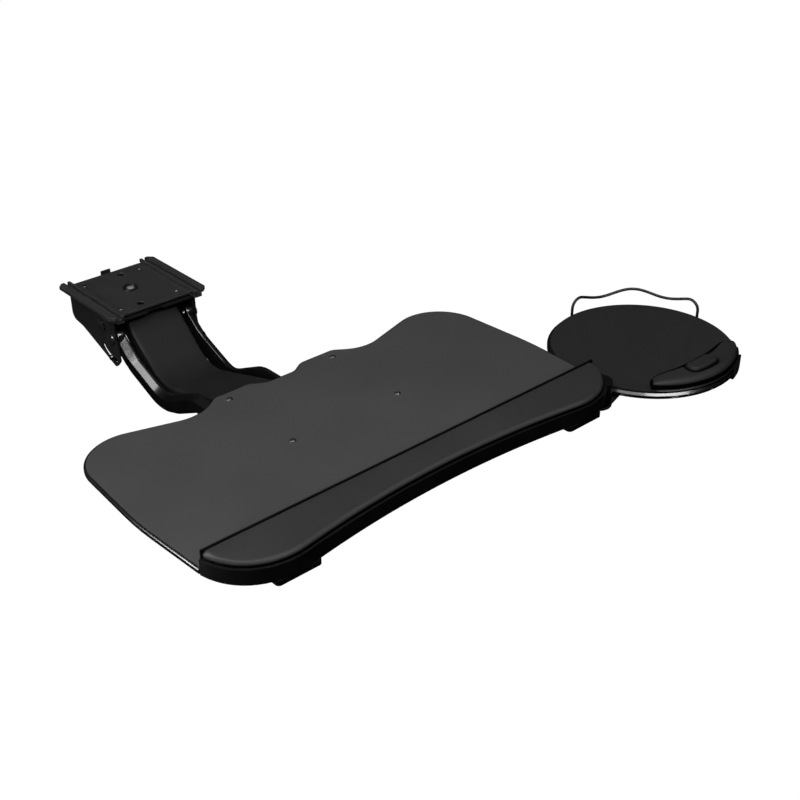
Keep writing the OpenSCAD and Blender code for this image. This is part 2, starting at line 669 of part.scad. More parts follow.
// The knuckle carries the bar, and a lug below it carries the stop rod
module bar_knuckle() {
    lug_t = 5;
    up = [-bar_dir[1], bar_dir[0]];
    end_half = bar_h/2 + knuckle_step;
    difference() {
        union() {
            along_x(bar_in, bar_out) polygon([bar_pivot + (knuckle_r - 0.2)*up, bar_start + end_half*up,
                bar_start - end_half*up, bar_pivot - (knuckle_r - 0.2)*up]);
            rod_x(bar_pivot, bar_in, bar_out, knuckle_r);
            rod_x(bar_pivot, bar_out - eps, cheek_in - gap, bar_boss_r);
            along_x(bar_out - lug_t, bar_out) plate_between([stop_point, bar_pivot], stop_rod_r + 3.5);
        }
        rod_x(bar_pivot, bar_in - 1, cheek_out, pin_r + fit);
        rod_x(stop_point, bar_in - 1, cheek_out, stop_rod_r + fit);
    }
}
module left_side_bar() { color("#141414") mirror([1, 0, 0]) side_bar(); }
module right_side_bar() { color("#141414") side_bar(); }
module left_bar_knuckle() { color("#141414") mirror([1, 0, 0]) bar_knuckle(); }
module right_bar_knuckle() { color("#141414") bar_knuckle(); }

// Tilt head between the arm and the tray
module tilt_head() {
    web_half = 1.2; // thin enough to pass under the bar pins' snap rings
    color("#242424") difference() {
        union() {
            both_sides() along_x(head_in, head_out) plate_between([tilt, bar_front, front_pivot], head_lug_r);
            rod_x(tilt, -head_out, head_out, head_r);
            along_x(-head_in - eps, head_in + eps) intersection() {
                polygon(band([tilt + [0, -head_r + web_half], bar_front + [0, -head_lug_r + web_half]], web_half, web_half));
                translate([bar_front[0] - 100, bar_front[1] - 100]) square([100, 200]);
            }
        }
        rod_x(tilt, -head_out - 1, head_out + 1, pin_r + fit);
        rod_x(front_pivot, -head_out - 1, head_out + 1, pin_r + fit);
        rod_x(bar_front, -head_out - 1, head_out + 1, pin_r + fit);
    }
}
module front_arm_pin() { color("#4a4a4a") rod_x(front_pivot, -head_out, head_out, pin_r); }
module front_bar_pins() {
    color("#4a4a4a") both_sides() mirror([1, 0, 0]) headed_pin(bar_front, -bar_out - 0.1, -head_in + 0.1);
}

// Tray
module board_bracket() {
    x = screw_span_x/2 + bracket_margin;
    y0 = front_row - bracket_margin;
    y1 = rear_row + bracket_margin - 3;
    color("#282828") difference() {
        union() {
            from_z(bracket_bottom, board_bottom) polygon(fillet_loop([[-x, y0, 10], [x, y0, 10], [x, y1, 10],
                [-x, y1, 10]]));
            both_sides() along_x(ear_in, ear_out) {
                translate(tilt) circle(head_r);
                polygon([tilt + [-head_r, 0], tilt + [head_r, 0], [tilt[0] + head_r + 8, bracket_bottom + eps],
                    [tilt[0] - head_r - 16, bracket_bottom + eps]]);
            }
        }
        both_sides() rod_x(tilt, ear_in - 1, ear_out + 1, pin_r + fit);
        for (sx = [-1, 1]) for (y = [front_row, rear_row])
            post([sx*screw_span_x/2, y], bracket_bottom - 1, board_bottom + 1, screw_r + fit);
    }
}
module tilt_nut() {
    nut_x = -ear_out - 0.1;
    color("#5a5a5a") difference() {
        hex_x(tilt, nut_x - 6, nut_x, 16);
        rod_x(tilt, nut_x - 7, nut_x + 1, pin_r + fit);
    }
}
// The front edge is a shallow hollow arc that turns into the round front corners
front_half = board_half - front_in;
function corner_turn(x, half, r) = let(t = min(1, max(0, (abs(x) - half + r)/r))) r*(1 - sqrt(1 - t*t));
function front_edge(x, inset) = board_y - palm_depth + inset - x*x/(2*front_sweep_r)
    + corner_turn(x, front_half - inset, front_corner_r - inset);
function front_points(inset, n) = [for (i = [-n:n]) let(x = (front_half - inset)*sin(90*i/n)) [x, front_edge(x, inset)]];
// The outline ahead of a line across the board, drawn in from the front edge
module front_shape(inset, back) {
    side = front_half - inset;
    intersection() {
        polygon(concat(front_points(inset, 32), [[side, board_y + front_corner_r], [-side, board_y + front_corner_r]]));
        translate([-board_w, back - board_w]) square([2*board_w, board_w]);
    }
}
// Half of the rear outline: a side, a rear lobe, a hollow and an ear behind the screws
rear_outline = let(
    ear = board_y + board_len,
    screw_x = screw_span_x/2,
    hollow = [screw_x + 40, ear - 20.5],
    widest = board_y + 0.4*board_len,
    side_r = 1.4*board_half,
    half = fillet_path([[front_half, board_y + gap], [board_half, widest, side_r],
        [board_half - 10, ear + 19.5, rear_corner_r], concat(hollow, 45), [screw_x + 10, ear, 14],
        [screw_x - 34, ear, 16], [screw_x - 49, ear - 10, 16], [0, ear - 10]]))
    concat(half, [for (i = [1:len(half) - 1]) flipped(half)[i]]);
module at_board_screws() {
    for (sx = [-1, 1]) for (y = [front_row, rear_row]) translate([sx*screw_span_x/2, y, 0]) children();
}
clip_front = front_edge(clip_span/2, 0) + clip_back;
module at_clips() { for (sx = [-1, 1]) translate([sx*clip_span/2, clip_front + clip_depth/2, 0]) children(); }
mouse_clip_len = 48;
module at_mouse_clip_screws() {
    for (d = [mouse_boss_r + screw_head_r + 0.5, mouse_clip_len - 10])
        translate([mouse_pivot[0] - d, mouse_pivot[1] + 9, 0]) children();
}
module board() {
    color("#454545") difference() {
        from_z(board_bottom, board_top) {
            polygon(rear_outline);
            front_shape(palm_wall_t + fit, board_y + 1);
        }
        at_board_screws() post([0, 0], board_bottom - 1, board_top + 1, screw_r + fit);
        at_clips() post([0, 0], board_bottom - 1, board_top + 1, screw_r + fit);
        at_mouse_clip_screws() post([0, 0], board_bottom - 1, board_bottom + board_t/2, screw_r + fit);
    }
}
module board_screws() {
    color("#5e5e5e") at_board_screws() {
        post([0, 0], bracket_bottom - board_nut_h - 1, board_top + eps, screw_r);
        dome([0, 0], board_top, screw_head_r, screw_head_h);
    }
}
module board_nuts() {
    color("#5a5a5a") at_board_screws() translate([0, 0, bracket_bottom - board_nut_h]) difference() {
        cylinder(d = board_nut_flats/cos(30), h = board_nut_h, $fn = 6);
        translate([0, 0, -1]) cylinder(r = screw_r + fit, h = board_nut_h + 2);
    }
}
// The base: a plate on the board, a wall round the front that hides the board's edge, and a low rear lip
module palm_base() {
    lip_half = front_half - palm_wall_t;
    color("#101010") difference() {
        union() {
            from_z(board_top, board_top + palm_base_t) front_shape(palm_wall_t/2, board_y);
            from_z(board_bottom, board_top + palm_wall_h) difference() {
                front_shape(0, board_y);
                front_shape(palm_wall_t, board_y + 1);
            }
            translate([-lip_half, board_y - palm_lip_t, board_top])
                cube([2*lip_half, palm_lip_t, palm_lip_h]);
        }
        at_clips() post([0, 0], board_top - 1, board_top + palm_base_t + 1, screw_r + fit);
    }
}
// Each ring is a section across the pad: its top slopes down to the front and rounds into both edges
module palm_pad() {
    stations = 44;
    turns = 4;
    floor = board_top + palm_base_t;
    inset = palm_wall_t + 0.4;
    half = front_half - inset - 1.6;
    rear = board_y - palm_lip_t;
    slope = (palm_h - palm_front_h)/(palm_depth - inset - palm_lip_t - palm_edge_r);
    color("#333333") loft([for (i = [-stations:2:stations])
        let(x = half*sin(90*i/stations), front = front_edge(x, inset), depth = rear - front,
            over = max(0, (abs(x) - half + palm_edge_r)/palm_edge_r),
            end_fall = palm_edge_r*(1 - sqrt(1 - 0.9*over*over)),
            fore = min(palm_edge_r, 0.5*depth), back = min(1.5, 0.2*depth),
            high = board_top + palm_h - end_fall,
            low = max(board_top + palm_front_h, high - slope*(depth - fore)) - end_fall/2)
        concat([[x, front, floor], [x, rear, floor]],
            [for (k = [0:turns/2]) let(a = 90*k/(turns/2))
                [x, rear - back*(1 - cos(a)), high - back*(1 - sin(a))]],
            [for (k = [0:turns]) let(a = 90*k/turns) [x, front + fore*(1 - sin(a)), low - fore*(1 - cos(a))]])]);
}
module palm_clips() {
    color("#0c0c0c") at_clips() difference() {
        from_z(board_bottom - clip_t, board_bottom) polygon(fillet_loop([[-clip_len/2, -clip_depth/2, 4],
            [clip_len/2, -clip_depth/2, 4], [clip_len/2, clip_depth/2, 3], [-clip_len/2, clip_depth/2, 3]]));
        post([0, 0], board_bottom - clip_t - 1, board_bottom + 1, screw_r + fit);
    }
}
module clip_screws() {
    color("#4a4a4a") at_clips() {
        post([0, 0], board_bottom - clip_t - eps, board_top + palm_base_t, screw_r);
        post([0, 0], board_bottom - clip_t - 1.8, board_bottom - clip_t, screw_head_r);
    }
}
mouse_boss_bottom = mouse_arm_top + 0.1;
mouse_clip_t = 8;
module mouse_clip() {
    rear = mouse_boss_r + 4;
    color("#0e0e0e") difference() {
        union() {
            post(mouse_pivot, mouse_boss_bottom, board_bottom, mouse_boss_r);
            from_z(board_bottom - mouse_clip_t, board_bottom) translate(mouse_pivot)
                polygon(fillet_loop([[0, -mouse_boss_r, 0], [0, rear, 0], [-mouse_clip_len, rear, 5],
                    [-mouse_clip_len, -6, 12], [-1.2*mouse_boss_r, -mouse_boss_r, 12]]));
        }
        post(mouse_pivot, mouse_boss_bottom - 1, board_bottom + 1, mouse_bolt_r + fit);
        at_mouse_clip_screws() post([0, 0], board_bottom - mouse_clip_t - 1, board_bottom + 1, screw_r + fit);
    }
}
module mouse_clip_screws() {
    color("#4a4a4a") at_mouse_clip_screws() {
        post([0, 0], board_bottom - mouse_clip_t - eps, board_bottom + board_t/2 - 0.4, screw_r);
        post([0, 0], board_bottom - mouse_clip_t - 1.8, board_bottom - mouse_clip_t, screw_head_r);
    }
}

// Tilt knob
module tilt_bolt() {
    color("#565656") rod_x(tilt, -ear_out - 8, ear_out + knob_len - 4, pin_r);
}
module tilt_knob() {
    start = ear_out + 0.4;
    collar = 4;
    color("#121212") difference() {
        union() {
            rod_x(tilt, start, start + collar + eps, pin_r + 4);
            difference() {
                rod_x(tilt, start + collar, start + knob_len, knob_r);
                for (i = [0:knob_lobes - 1])
                    rod_x(tilt + polar(knob_r*1.28, 360*(i + 0.5)/knob_lobes), start, start + knob_len + 1, knob_r*0.44);
            }
        }
        rod_x(tilt, start - 1, start + knob_len - 3, pin_r + fit);
    }
}

// Mouse arm and platform
module mouse_arm() {
    hub = mouse_mid;
    side = (mouse_arm_w/2 - 1.5)*[-sin(mouse_angle), cos(mouse_angle)];
    color("#161616") difference() {
        from_z(mouse_arm_bottom, mouse_arm_top) {
            translate(mouse_pivot) circle(mouse_arm_w/2);
            polygon([mouse_pivot + side, mouse_pivot - side, hub - side, hub + side]);
            translate(hub) circle(hub_r);
        }
        post(mouse_pivot, mouse_arm_bottom - 1, mouse_arm_top + 1, mouse_bolt_r + fit);
        at_hub_screws() post([0, 0], mouse_arm_bottom - 1, mouse_arm_top + 1, hub_screw_r + fit);
    }
}
module mouse_pivot_bolt() {
    color("#4e4e4e") {
        post(mouse_pivot, mouse_arm_bottom - eps, board_bottom - 0.4, mouse_bolt_r);
        post(mouse_pivot, mouse_arm_bottom - 2, mouse_arm_bottom, mouse_bolt_r + 3.5);
    }
}
module at_hub_screws() {
    for (i = [0:2]) translate([mouse_mid[0], mouse_mid[1], 0] + concat(polar(hub_screw_pcd/2, 90 + 120*i), 0)) children();
}
module at_fence_legs() {
    for (s = [-1, 1]) translate([mouse_mid[0], mouse_mid[1], 0] + concat(polar(fence_r, fence_mid + s*fence_span/2), 0))
        children();
}
fence_leg_depth = 4;
// A dished moulding: deck, stepped rim with a bright chamfer, ring rib, radial ribs and hub
module mouse_platform() {
    deck_bottom = surface_bottom - deck_t;
    rim_in = surface_r - 3;
    rib_t = 2.2;
    ring_r = platform_r*0.5;
    color("#181818") difference() {
        translate([mouse_mid[0], mouse_mid[1], 0]) {
            rotate_extrude($fn = 120) polygon([[0, deck_bottom], [rim_in, deck_bottom], [rim_in, platform_bottom],
                [platform_r - 1.6, platform_bottom], [platform_r, platform_bottom + 1.6],
                [platform_r, surface_bottom - 2.4], [platform_r - 2, surface_bottom], [0, surface_bottom]]);
            rotate_extrude($fn = 96) translate([ring_r, platform_bottom + 1.5])
                square([rib_t, deck_bottom - platform_bottom - 1.5 + eps]);
            post([0, 0], mouse_arm_top, deck_bottom + eps, hub_r);
            for (i = [0:rib_count - 1]) rotate(360*(i + 0.5)/rib_count)
                translate([hub_r - 1, -rib_t/2, platform_bottom + 1.5])
                    cube([rim_in - hub_r + 2, rib_t, deck_bottom - platform_bottom - 1.5 + eps]);
        }
        at_hub_screws() post([0, 0], mouse_arm_top - 1, deck_bottom - 0.5, hub_screw_r + fit);
        at_fence_legs() post([0, 0], surface_bottom - fence_leg_depth, surface_bottom + 1, fence_wire/2 + fit);
    }
}
module hub_screws() {
    color("#4a4a4a") at_hub_screws() {
        post([0, 0], mouse_arm_bottom - eps, surface_bottom - deck_t - 0.8, hub_screw_r);
        post([0, 0], mouse_arm_bottom - 1.6, mouse_arm_bottom, hub_screw_r + 1.6);
    }
}
module mouse_surface() {
    color("#262626") translate([mouse_mid[0], mouse_mid[1], 0]) rotate_extrude($fn = 120)
        polygon([[0, surface_bottom], [surface_r - 0.2, surface_bottom], [surface_r - 0.2, surface_top - 0.5],
            [surface_r - 0.7, surface_top], [0, surface_top]]);
}
// The wire rises from a leg round a shoulder, waves along the rim as a cosine and comes down the other leg
module mouse_fence() {
    half = fence_span/2;
    shoulder = 7.5; // degrees taken by each shoulder
    waves = 44; // degrees between the middle crest and the next
    leg_top = fence_h - 8;
    flat = half - shoulder;
    wave_h = function (a) fence_h + fence_wave*cos(360*a/waves);
    bend = [for (t = [0:15:75]) [half - shoulder + shoulder*cos(t), leg_top + (wave_h(flat) + 0.6 - leg_top)*sin(t)]];
    side = concat([[half, -surface_t - fence_leg_depth + 0.2], [half, leg_top/2]], bend);
    crest = [for (a = [flat:-flat/16:-flat + 0.1]) [a, wave_h(a)]];
    route = concat(side, crest, [[-flat, wave_h(flat)]], [for (q = reversed(side)) [-q[0], q[1]]]);
    at = function (q) concat(mouse_mid + polar(fence_r, fence_mid + q[0]), surface_top + q[1]);
    color("#2a2a2a") loft(tube_rings([for (q = route) at(q)],
        [for (q = route) concat(polar(1, fence_mid + q[0]), 0)], fence_wire/2, 8));
}

// Mouse palm rest: a base on the surface with a short hook round the platform's rim
mouse_palm_out = platform_r - 1;
module mouse_palm_clip() {
    outer = platform_r + gap + palm_clip_wall;
    inner = mouse_palm_out - mouse_palm_end_depth + 3;
    low = platform_bottom - gap - rim_lip_t;
    color("#0c0c0c") translate([mouse_mid[0], mouse_mid[1], 0]) {
        rotate(mouse_palm_mid - mouse_palm_span/2 + 3) rotate_extrude(angle = mouse_palm_span - 6, $fn = 120)
            translate([inner, surface_top + gap]) square([mouse_palm_out - inner, palm_clip_t]);
        rotate(mouse_palm_mid + hook_from) rotate_extrude(angle = hook_span, $fn = 120)
            polygon([[mouse_palm_out - 2, surface_top + gap], [platform_r + gap, surface_top + gap],
                [platform_r + gap, platform_bottom - gap], [platform_r - 3, platform_bottom - gap],
                [platform_r - 3, low], [outer, low], [outer, pad_floor], [mouse_palm_out - 2, pad_floor]]);
    }
}
// Sections along the rim: the depth swells in the middle, and an oblong button rises from the crown
function bell(t) = abs(t) >= 1 ? 0 : pow(cos(90*t), 2);
module mouse_palm_pad() {
    stations = 36;
    tops = 12;
    half = mouse_palm_span/2;
    button_half = 14; // degrees
    color("#2c2c2c") translate([mouse_mid[0], mouse_mid[1], 0]) loft([for (i = [-stations:2:stations])
        let(t = sin(90*i/stations*0.98), a = mouse_palm_mid + half*t, end = pow(abs(t), 7),
            depth = (mouse_palm_end_depth + (mouse_palm_depth - mouse_palm_end_depth)*bell(t*0.8))*sqrt(1 - end*0.8),
            h = mouse_palm_h*sqrt(1 - end*0.75), rim = mouse_palm_out - 2*end, inner = rim - depth)
        [for (k = [0:tops + 1]) let(
            s = k == 0 ? 0 : k == tops + 1 ? 1 : 0.5 - 0.5*cos(180*(k - 0.5)/tops),
            crown = pow(max(0, 1 - pow(abs(2*s - 1), 3.2)), 0.5),
            button = button_h*bell(half*t/button_half)*bell((s - 0.42)/0.36),
            z = k == 0 || k == tops + 1 ? 0 : max(0.6, h*crown + button))
            concat(polar(inner + depth*s, a), pad_floor + z)]]);
}

glide_plate();
left_glide();
right_glide();
glide_rivets();
rear_stop();
swivel_stud();
stud_washer();
stud_nut();
swivel_bearing();
swivel_plate();
left_cheek();
right_cheek();
cheek_rivets();
arm_pivot_pin();
rear_bar_pins();
left_lift_spring();
right_lift_spring();
arm_channel();
stop_rod();
left_side_bar();
right_side_bar();
left_bar_knuckle();
right_bar_knuckle();
tilt_head();
front_arm_pin();
front_bar_pins();
board_bracket();
tilt_nut();
board();
board_screws();
board_nuts();
palm_base();
palm_pad();
palm_clips();
clip_screws();
mouse_clip();
mouse_clip_screws();
tilt_bolt();
tilt_knob();
mouse_arm();
mouse_pivot_bolt();
mouse_platform();
hub_screws();
mouse_surface();
mouse_fence();
mouse_palm_clip();
mouse_palm_pad();
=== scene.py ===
# Keyboard tray on a lift arm: finishes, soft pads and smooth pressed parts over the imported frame
import json
import math

import bmesh
import bpy
import numpy as np
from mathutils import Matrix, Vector


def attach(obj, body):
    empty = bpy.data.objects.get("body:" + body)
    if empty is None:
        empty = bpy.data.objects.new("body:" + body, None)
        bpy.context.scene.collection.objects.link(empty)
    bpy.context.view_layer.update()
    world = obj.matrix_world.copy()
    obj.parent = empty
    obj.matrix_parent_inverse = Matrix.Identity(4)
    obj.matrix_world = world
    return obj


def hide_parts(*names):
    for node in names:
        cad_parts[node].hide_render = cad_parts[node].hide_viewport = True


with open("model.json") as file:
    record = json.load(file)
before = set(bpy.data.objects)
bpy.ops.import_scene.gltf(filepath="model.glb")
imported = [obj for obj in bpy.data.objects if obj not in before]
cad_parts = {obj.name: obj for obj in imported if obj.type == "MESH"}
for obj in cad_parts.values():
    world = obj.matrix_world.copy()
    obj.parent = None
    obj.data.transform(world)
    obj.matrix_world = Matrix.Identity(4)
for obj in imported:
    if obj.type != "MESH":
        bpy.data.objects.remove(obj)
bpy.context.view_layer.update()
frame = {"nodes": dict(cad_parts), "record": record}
cad = frame["nodes"]
print("frame loaded:", len(cad), "nodes")

# Camera, matched to the photograph by the four board screws, the glides and the platform's rim
shot = {"eye": (-0.6728, -1.2387, 0.6508), "aim": (0.0606, -0.4184, 0.0), "lens": 56.7, "sensor": 36.0}
camera = bpy.data.objects.new("shotCamera", bpy.data.cameras.new("shotCamera"))
bpy.context.scene.collection.objects.link(camera)
camera.data.lens, camera.data.sensor_width = shot["lens"], shot["sensor"]
camera.location = shot["eye"]
camera.rotation_mode = "QUATERNION"
camera.rotation_quaternion = (Vector(shot["aim"]) - Vector(shot["eye"])).to_track_quat("-Z", "Y")
camera.data.clip_end = 100
bpy.context.scene.camera = camera

# Pivots of the arm in (Y, Z), in mm, as in the part's source
pivots = {
    "arm": np.array((-26.0, -24.0)),
    "bar": np.array((-44.0, -36.0)),
    "armFront": np.array((-260.0, -44.0)),
    "barFront": np.array((-278.0, -56.0)),
}
palmLine = -512.5  # Y of the palm rest's straight rear edge
mm = 0.001  # in metres, the unit of every mesh
mergeGap = 0.005  # mm between points that are merged into one
straightHalf = 89.95  # half angle, in degrees, of a corner that counts as straight


# A grid of points (rows, columns, xyz in mm) becomes a mesh: four neighbours make a face, each row is closed
def gridPiece(name, grid, body, wrapRows=False, caps=False, sharp=40.0):
    rows, cols = grid.shape[:2]
    index = np.arange(rows * cols).reshape(rows, cols)
    first, last = index[0].tolist(), index[-1].tolist()
    index = np.vstack([index, index[:1]]) if wrapRows else index
    index = np.hstack([index, index[:, :1]])
    faces = np.stack([index[:-1, :-1], index[:-1, 1:], index[1:, 1:], index[1:, :-1]], -1)
    faces = faces.reshape(-1, 4).tolist()
    faces += [first[::-1], last] if caps else []
    mesh = bpy.data.meshes.new(name)
    mesh.from_pydata(grid.reshape(-1, 3) * mm, [], faces)
    return seatPiece(name, mesh, body, sharp)


# Merges doubled points at poles, turns faces outwards, smooths all but sharp edges and rides on a body
def seatPiece(name, mesh, body, sharp):
    shape = bmesh.new()
    shape.from_mesh(mesh)
    bmesh.ops.remove_doubles(shape, verts=shape.verts, dist=mergeGap * mm)
    bmesh.ops.recalc_face_normals(shape, faces=shape.faces)
    shape.to_mesh(mesh)
    shape.free()
    mesh.shade_smooth()
    mesh.set_sharp_from_angle(angle=math.radians(sharp))
    piece = bpy.data.objects.new(name, mesh)
    bpy.context.scene.collection.objects.link(piece)
    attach(piece, body)
    return piece


# Corners (a, b, radius) become a path whose corners are arcs tangent to both runs
def filletPath(corners, step=1.5):
    pts = np.array([c[:2] for c in corners], float)
    made = [pts[:1]]
    for i in range(1, len(corners) - 1):
        a, b, c, r = pts[i - 1], pts[i], pts[i + 1], corners[i][2]
        u, v = (a - b) / np.linalg.norm(a - b), (c - b) / np.linalg.norm(c - b)
        half = math.acos(np.clip(u @ v, -1, 1)) / 2
        if r <= 0 or half > math.radians(straightHalf):
            made.append(b[None])
            continue
        mid = b + (u + v) / np.linalg.norm(u + v) * r / math.sin(half)
        s, e = b + u * r / math.tan(half) - mid, b + v * r / math.tan(half) - mid
        start = math.atan2(s[1], s[0])
        sweep = (math.atan2(e[1], e[0]) - start + 3 * math.pi) % (2 * math.pi) - math.pi
        turn = start + sweep * np.linspace(0, 1, max(4, int(abs(math.degrees(sweep)) / step)))
        made.append(mid + r * np.stack([np.cos(turn), np.sin(turn)], -1))
    return np.vstack(made + [pts[-1:]])


# Points at an even spacing along a path, by its running length
def evenPath(path, spacing):
    run = np.concatenate([[0], np.cumsum(np.linalg.norm(np.diff(path, axis=0), axis=1))])
    at = np.linspace(0, run[-1], max(2, int(run[-1] / spacing)) + 1)
    return np.stack([np.interp(at, run, path[:, k]) for k in range(path.shape[1])], -1)


# Angles of a quarter turn, and of a full turn that stops one step short of its start
def quarterTurn(count):
    return np.linspace(0, math.pi / 2, count)


def fullTurn(count):
    return np.linspace(0, 2 * math.pi, count, endpoint=False)


# Unit directions along a path, from each point's two neighbours
def alongPath(path):
    way = np.gradient(path, axis=0)
    return way / np.linalg.norm(way, axis=1, keepdims=True)


# A tube along 3-D points: rings square to the path, each started from a side direction
def tubeGrid(path, sideTo, radius, sides):
    way = alongPath(path)
    side = sideTo - way * (way * sideTo).sum(1, keepdims=True)
    side /= np.linalg.norm(side, axis=1, keepdims=True)
    other = np.cross(way, side)
    turn = fullTurn(sides)[None, :, None]
    return path[:, None] + radius * (np.cos(turn) * side[:, None] + np.sin(turn) * other[:, None])


# A turned shape about an X axis at (y, z): profile of (x, radius), swept round in full
def turnedX(centre, profile, sides=64):
    prof = np.array(profile, float)
    turn = fullTurn(sides)[None]
    x = np.repeat(prof[:, :1], sides, 1)
    return np.stack([x, centre[0] + prof[:, 1:] * np.cos(turn), centre[1] + prof[:, 1:] * np.sin(turn)], -1)


# A sleeve's profile: outer wall with rounded rims, then back through the bore
def sleeveProfile(x0, x1, outer, bore, edge=0.8):
    arc = quarterTurn(5)
    left = np.stack([x0 + edge - edge * np.cos(arc), outer - edge + edge * np.sin(arc)], -1)
    right = np.stack([x1 - edge + edge * np.sin(arc), outer - edge + edge * np.cos(arc)], -1)
    return np.vstack([[[x0, bore]], left, right, [[x1, bore]]])


# Node-tree helpers: a material with its shader, one node with its settings and sockets, and a link
def startMaterial(name):
    material = bpy.data.materials.new(name)
    material.use_nodes = True
    return material, material.node_tree, material.node_tree.nodes["Principled BSDF"]


def addNode(tree, kind, settings=None, sockets=None):
    node = tree.nodes.new(kind)
    for key, value in (settings or {}).items():
        setattr(node, key, value)
    for key, value in (sockets or {}).items():
        node.inputs[key].default_value = value
    return node


def join(tree, source, target):
    tree.links.new(source, target)


noiseSpan = (0.3, 0.7)  # where most of a noise's values lie


# A value spread from one range to another
def spread(tree, source, low, high, fromLow=0.0, fromHigh=1.0):
    node = addNode(tree, "ShaderNodeMapRange", None,
                   {"From Min": fromLow, "From Max": fromHigh, "To Min": low, "To Max": high})
    join(tree, source, node.inputs["Value"])
    return node.outputs["Result"]


# Two values multiplied
def product(tree, first, second):
    node = addNode(tree, "ShaderNodeMath", {"operation": "MULTIPLY"})
    join(tree, first, node.inputs[0])
    join(tree, second, node.inputs[1])
    return node.outputs["Value"]


# Noise on Object coordinates, and a tone that it varies by a share either side of 1
def noiseTone(tree, coords, perMetre, share, detail=3.0, stretch=None):
    source = coords.outputs["Object"]
    if stretch:
        mapping = addNode(tree, "ShaderNodeMapping", None, {"Scale": stretch})
        join(tree, source, mapping.inputs["Vector"])
        source = mapping.outputs["Vector"]
    noise = addNode(tree, "ShaderNodeTexNoise", None,
                    {"Scale": perMetre, "Detail": detail, "Roughness": 0.6})
    join(tree, source, noise.inputs["Vector"])
    return noise.outputs["Fac"], spread(tree, noise.outputs["Fac"], 1 - share, 1 + share, *noiseSpan)


# The look's tone times an amount goes to the shader's colour
def tintShader(tree, shader, tone, amount):
    tint = addNode(tree, "ShaderNodeMix", {"data_type": "RGBA", "blend_type": "MULTIPLY"}, {"Factor": 1.0})
    tint.inputs["A"].default_value = (*tone, 1)
    join(tree, amount, tint.inputs["B"])
    join(tree, tint.outputs["Result"], shader.inputs["Base Color"])


# A height becomes the shader's bump
def bumpShader(tree, shader, height, look, invert=False):
    bump = addNode(tree, "ShaderNodeBump", {"invert": invert},
                   {"Strength": look["bump"], "Distance": look["bumpDepth"]})
    join(tree, height, bump.inputs["Height"])
    join(tree, bump.outputs["Normal"], shader.inputs["Normal"])


# A coat or moulding: a broad and a fine noise vary the tone, the broad one the gloss, the fine one the bump
def coatFinish(name, look):
    material, tree, shader = startMaterial(name)
    coords = addNode(tree, "ShaderNodeTexCoord")
    grain, grainTone = noiseTone(tree, coords, look["grainPerMetre"], look["grainTone"], detail=4.0,
                                 stretch=look.get("stretch"))
    broad, broadTone = noiseTone(tree, coords, look["broadPerMetre"], look["broadTone"])
    tintShader(tree, shader, look["tone"], product(tree, grainTone, broadTone))
    join(tree, spread(tree, broad, *look["rough"], *noiseSpan), shader.inputs["Roughness"])
    bumpShader(tree, shader, grain, look)
    shader.inputs["Metallic"].default_value = look.get("metal", 0.0)
    shader.inputs["Coat Weight"].default_value = look.get("coat", 0.0)
    shader.inputs["Coat Roughness"].default_value = look.get("coatRough", 0.1)
    shader.inputs["Specular IOR Level"].default_value = look.get("specular", 0.5)
    return material


# A close woven face: two crossed bands make over-and-under threads, broken up by a broad noise
def wovenFinish(name, look):
    material, tree, shader = startMaterial(name)
    coords = addNode(tree, "ShaderNodeTexCoord")
    bands = []
    for way in ("X", "Y"):
        band = addNode(tree, "ShaderNodeTexWave", {"bands_direction": way},
                       {"Scale": look["threadsPerMetre"] / 2, "Distortion": 0.6, "Detail": 1.0,
                        "Detail Scale": 2.0})
        join(tree, coords.outputs["Object"], band.inputs["Vector"])
        bands.append(band.outputs["Fac"])
    weave = product(tree, *bands)
    _, broadTone = noiseTone(tree, coords, look["broadPerMetre"], look["broadTone"])
    thread = spread(tree, weave, 1 - look["weaveTone"], 1 + look["weaveTone"])
    tintShader(tree, shader, look["tone"], product(tree, thread, broadTone))
    bumpShader(tree, shader, weave, look)
    shader.inputs["Roughness"].default_value = look["rough"]
    shader.inputs["Specular IOR Level"].default_value = look["specular"]
    return material


# Pebbled soft skin: cells make the pebbles, a broad noise the handling marks, a shade attribute darkens it
def skinFinish(name, look):
    material, tree, shader = startMaterial(name)
    coords = addNode(tree, "ShaderNodeTexCoord")
    cells = addNode(tree, "ShaderNodeTexVoronoi", {"feature": "SMOOTH_F1"},
                    {"Scale": look["pebblesPerMetre"], "Smoothness": 0.6, "Randomness": 1.0})
    join(tree, coords.outputs["Object"], cells.inputs["Vector"])
    away = cells.outputs["Distance"]
    creases = spread(tree, away, 1 + look["pebbleTone"], 1 - look["pebbleTone"], *look["creaseSpan"])
    broad, broadTone = noiseTone(tree, coords, look["broadPerMetre"], look["broadTone"])
    # The shade attribute darkens colour and shine alike, for painted shade and for black skin, as each piece
    # sets it
    shade = addNode(tree, "ShaderNodeAttribute", {"attribute_name": "shade"})
    lit = spread(tree, shade.outputs["Fac"], 1.0, look["shaded"])
    tintShader(tree, shader, look["tone"], product(tree, product(tree, creases, broadTone), lit))
    shine = addNode(tree, "ShaderNodeMath", {"operation": "MULTIPLY"})
    shine.inputs[0].default_value = look["specular"]
    join(tree, lit, shine.inputs[1])
    join(tree, shine.outputs["Value"], shader.inputs["Specular IOR Level"])
    bumpShader(tree, shader, away, look, invert=True)
    join(tree, spread(tree, broad, *look["rough"], *noiseSpan), shader.inputs["Roughness"])
    return material


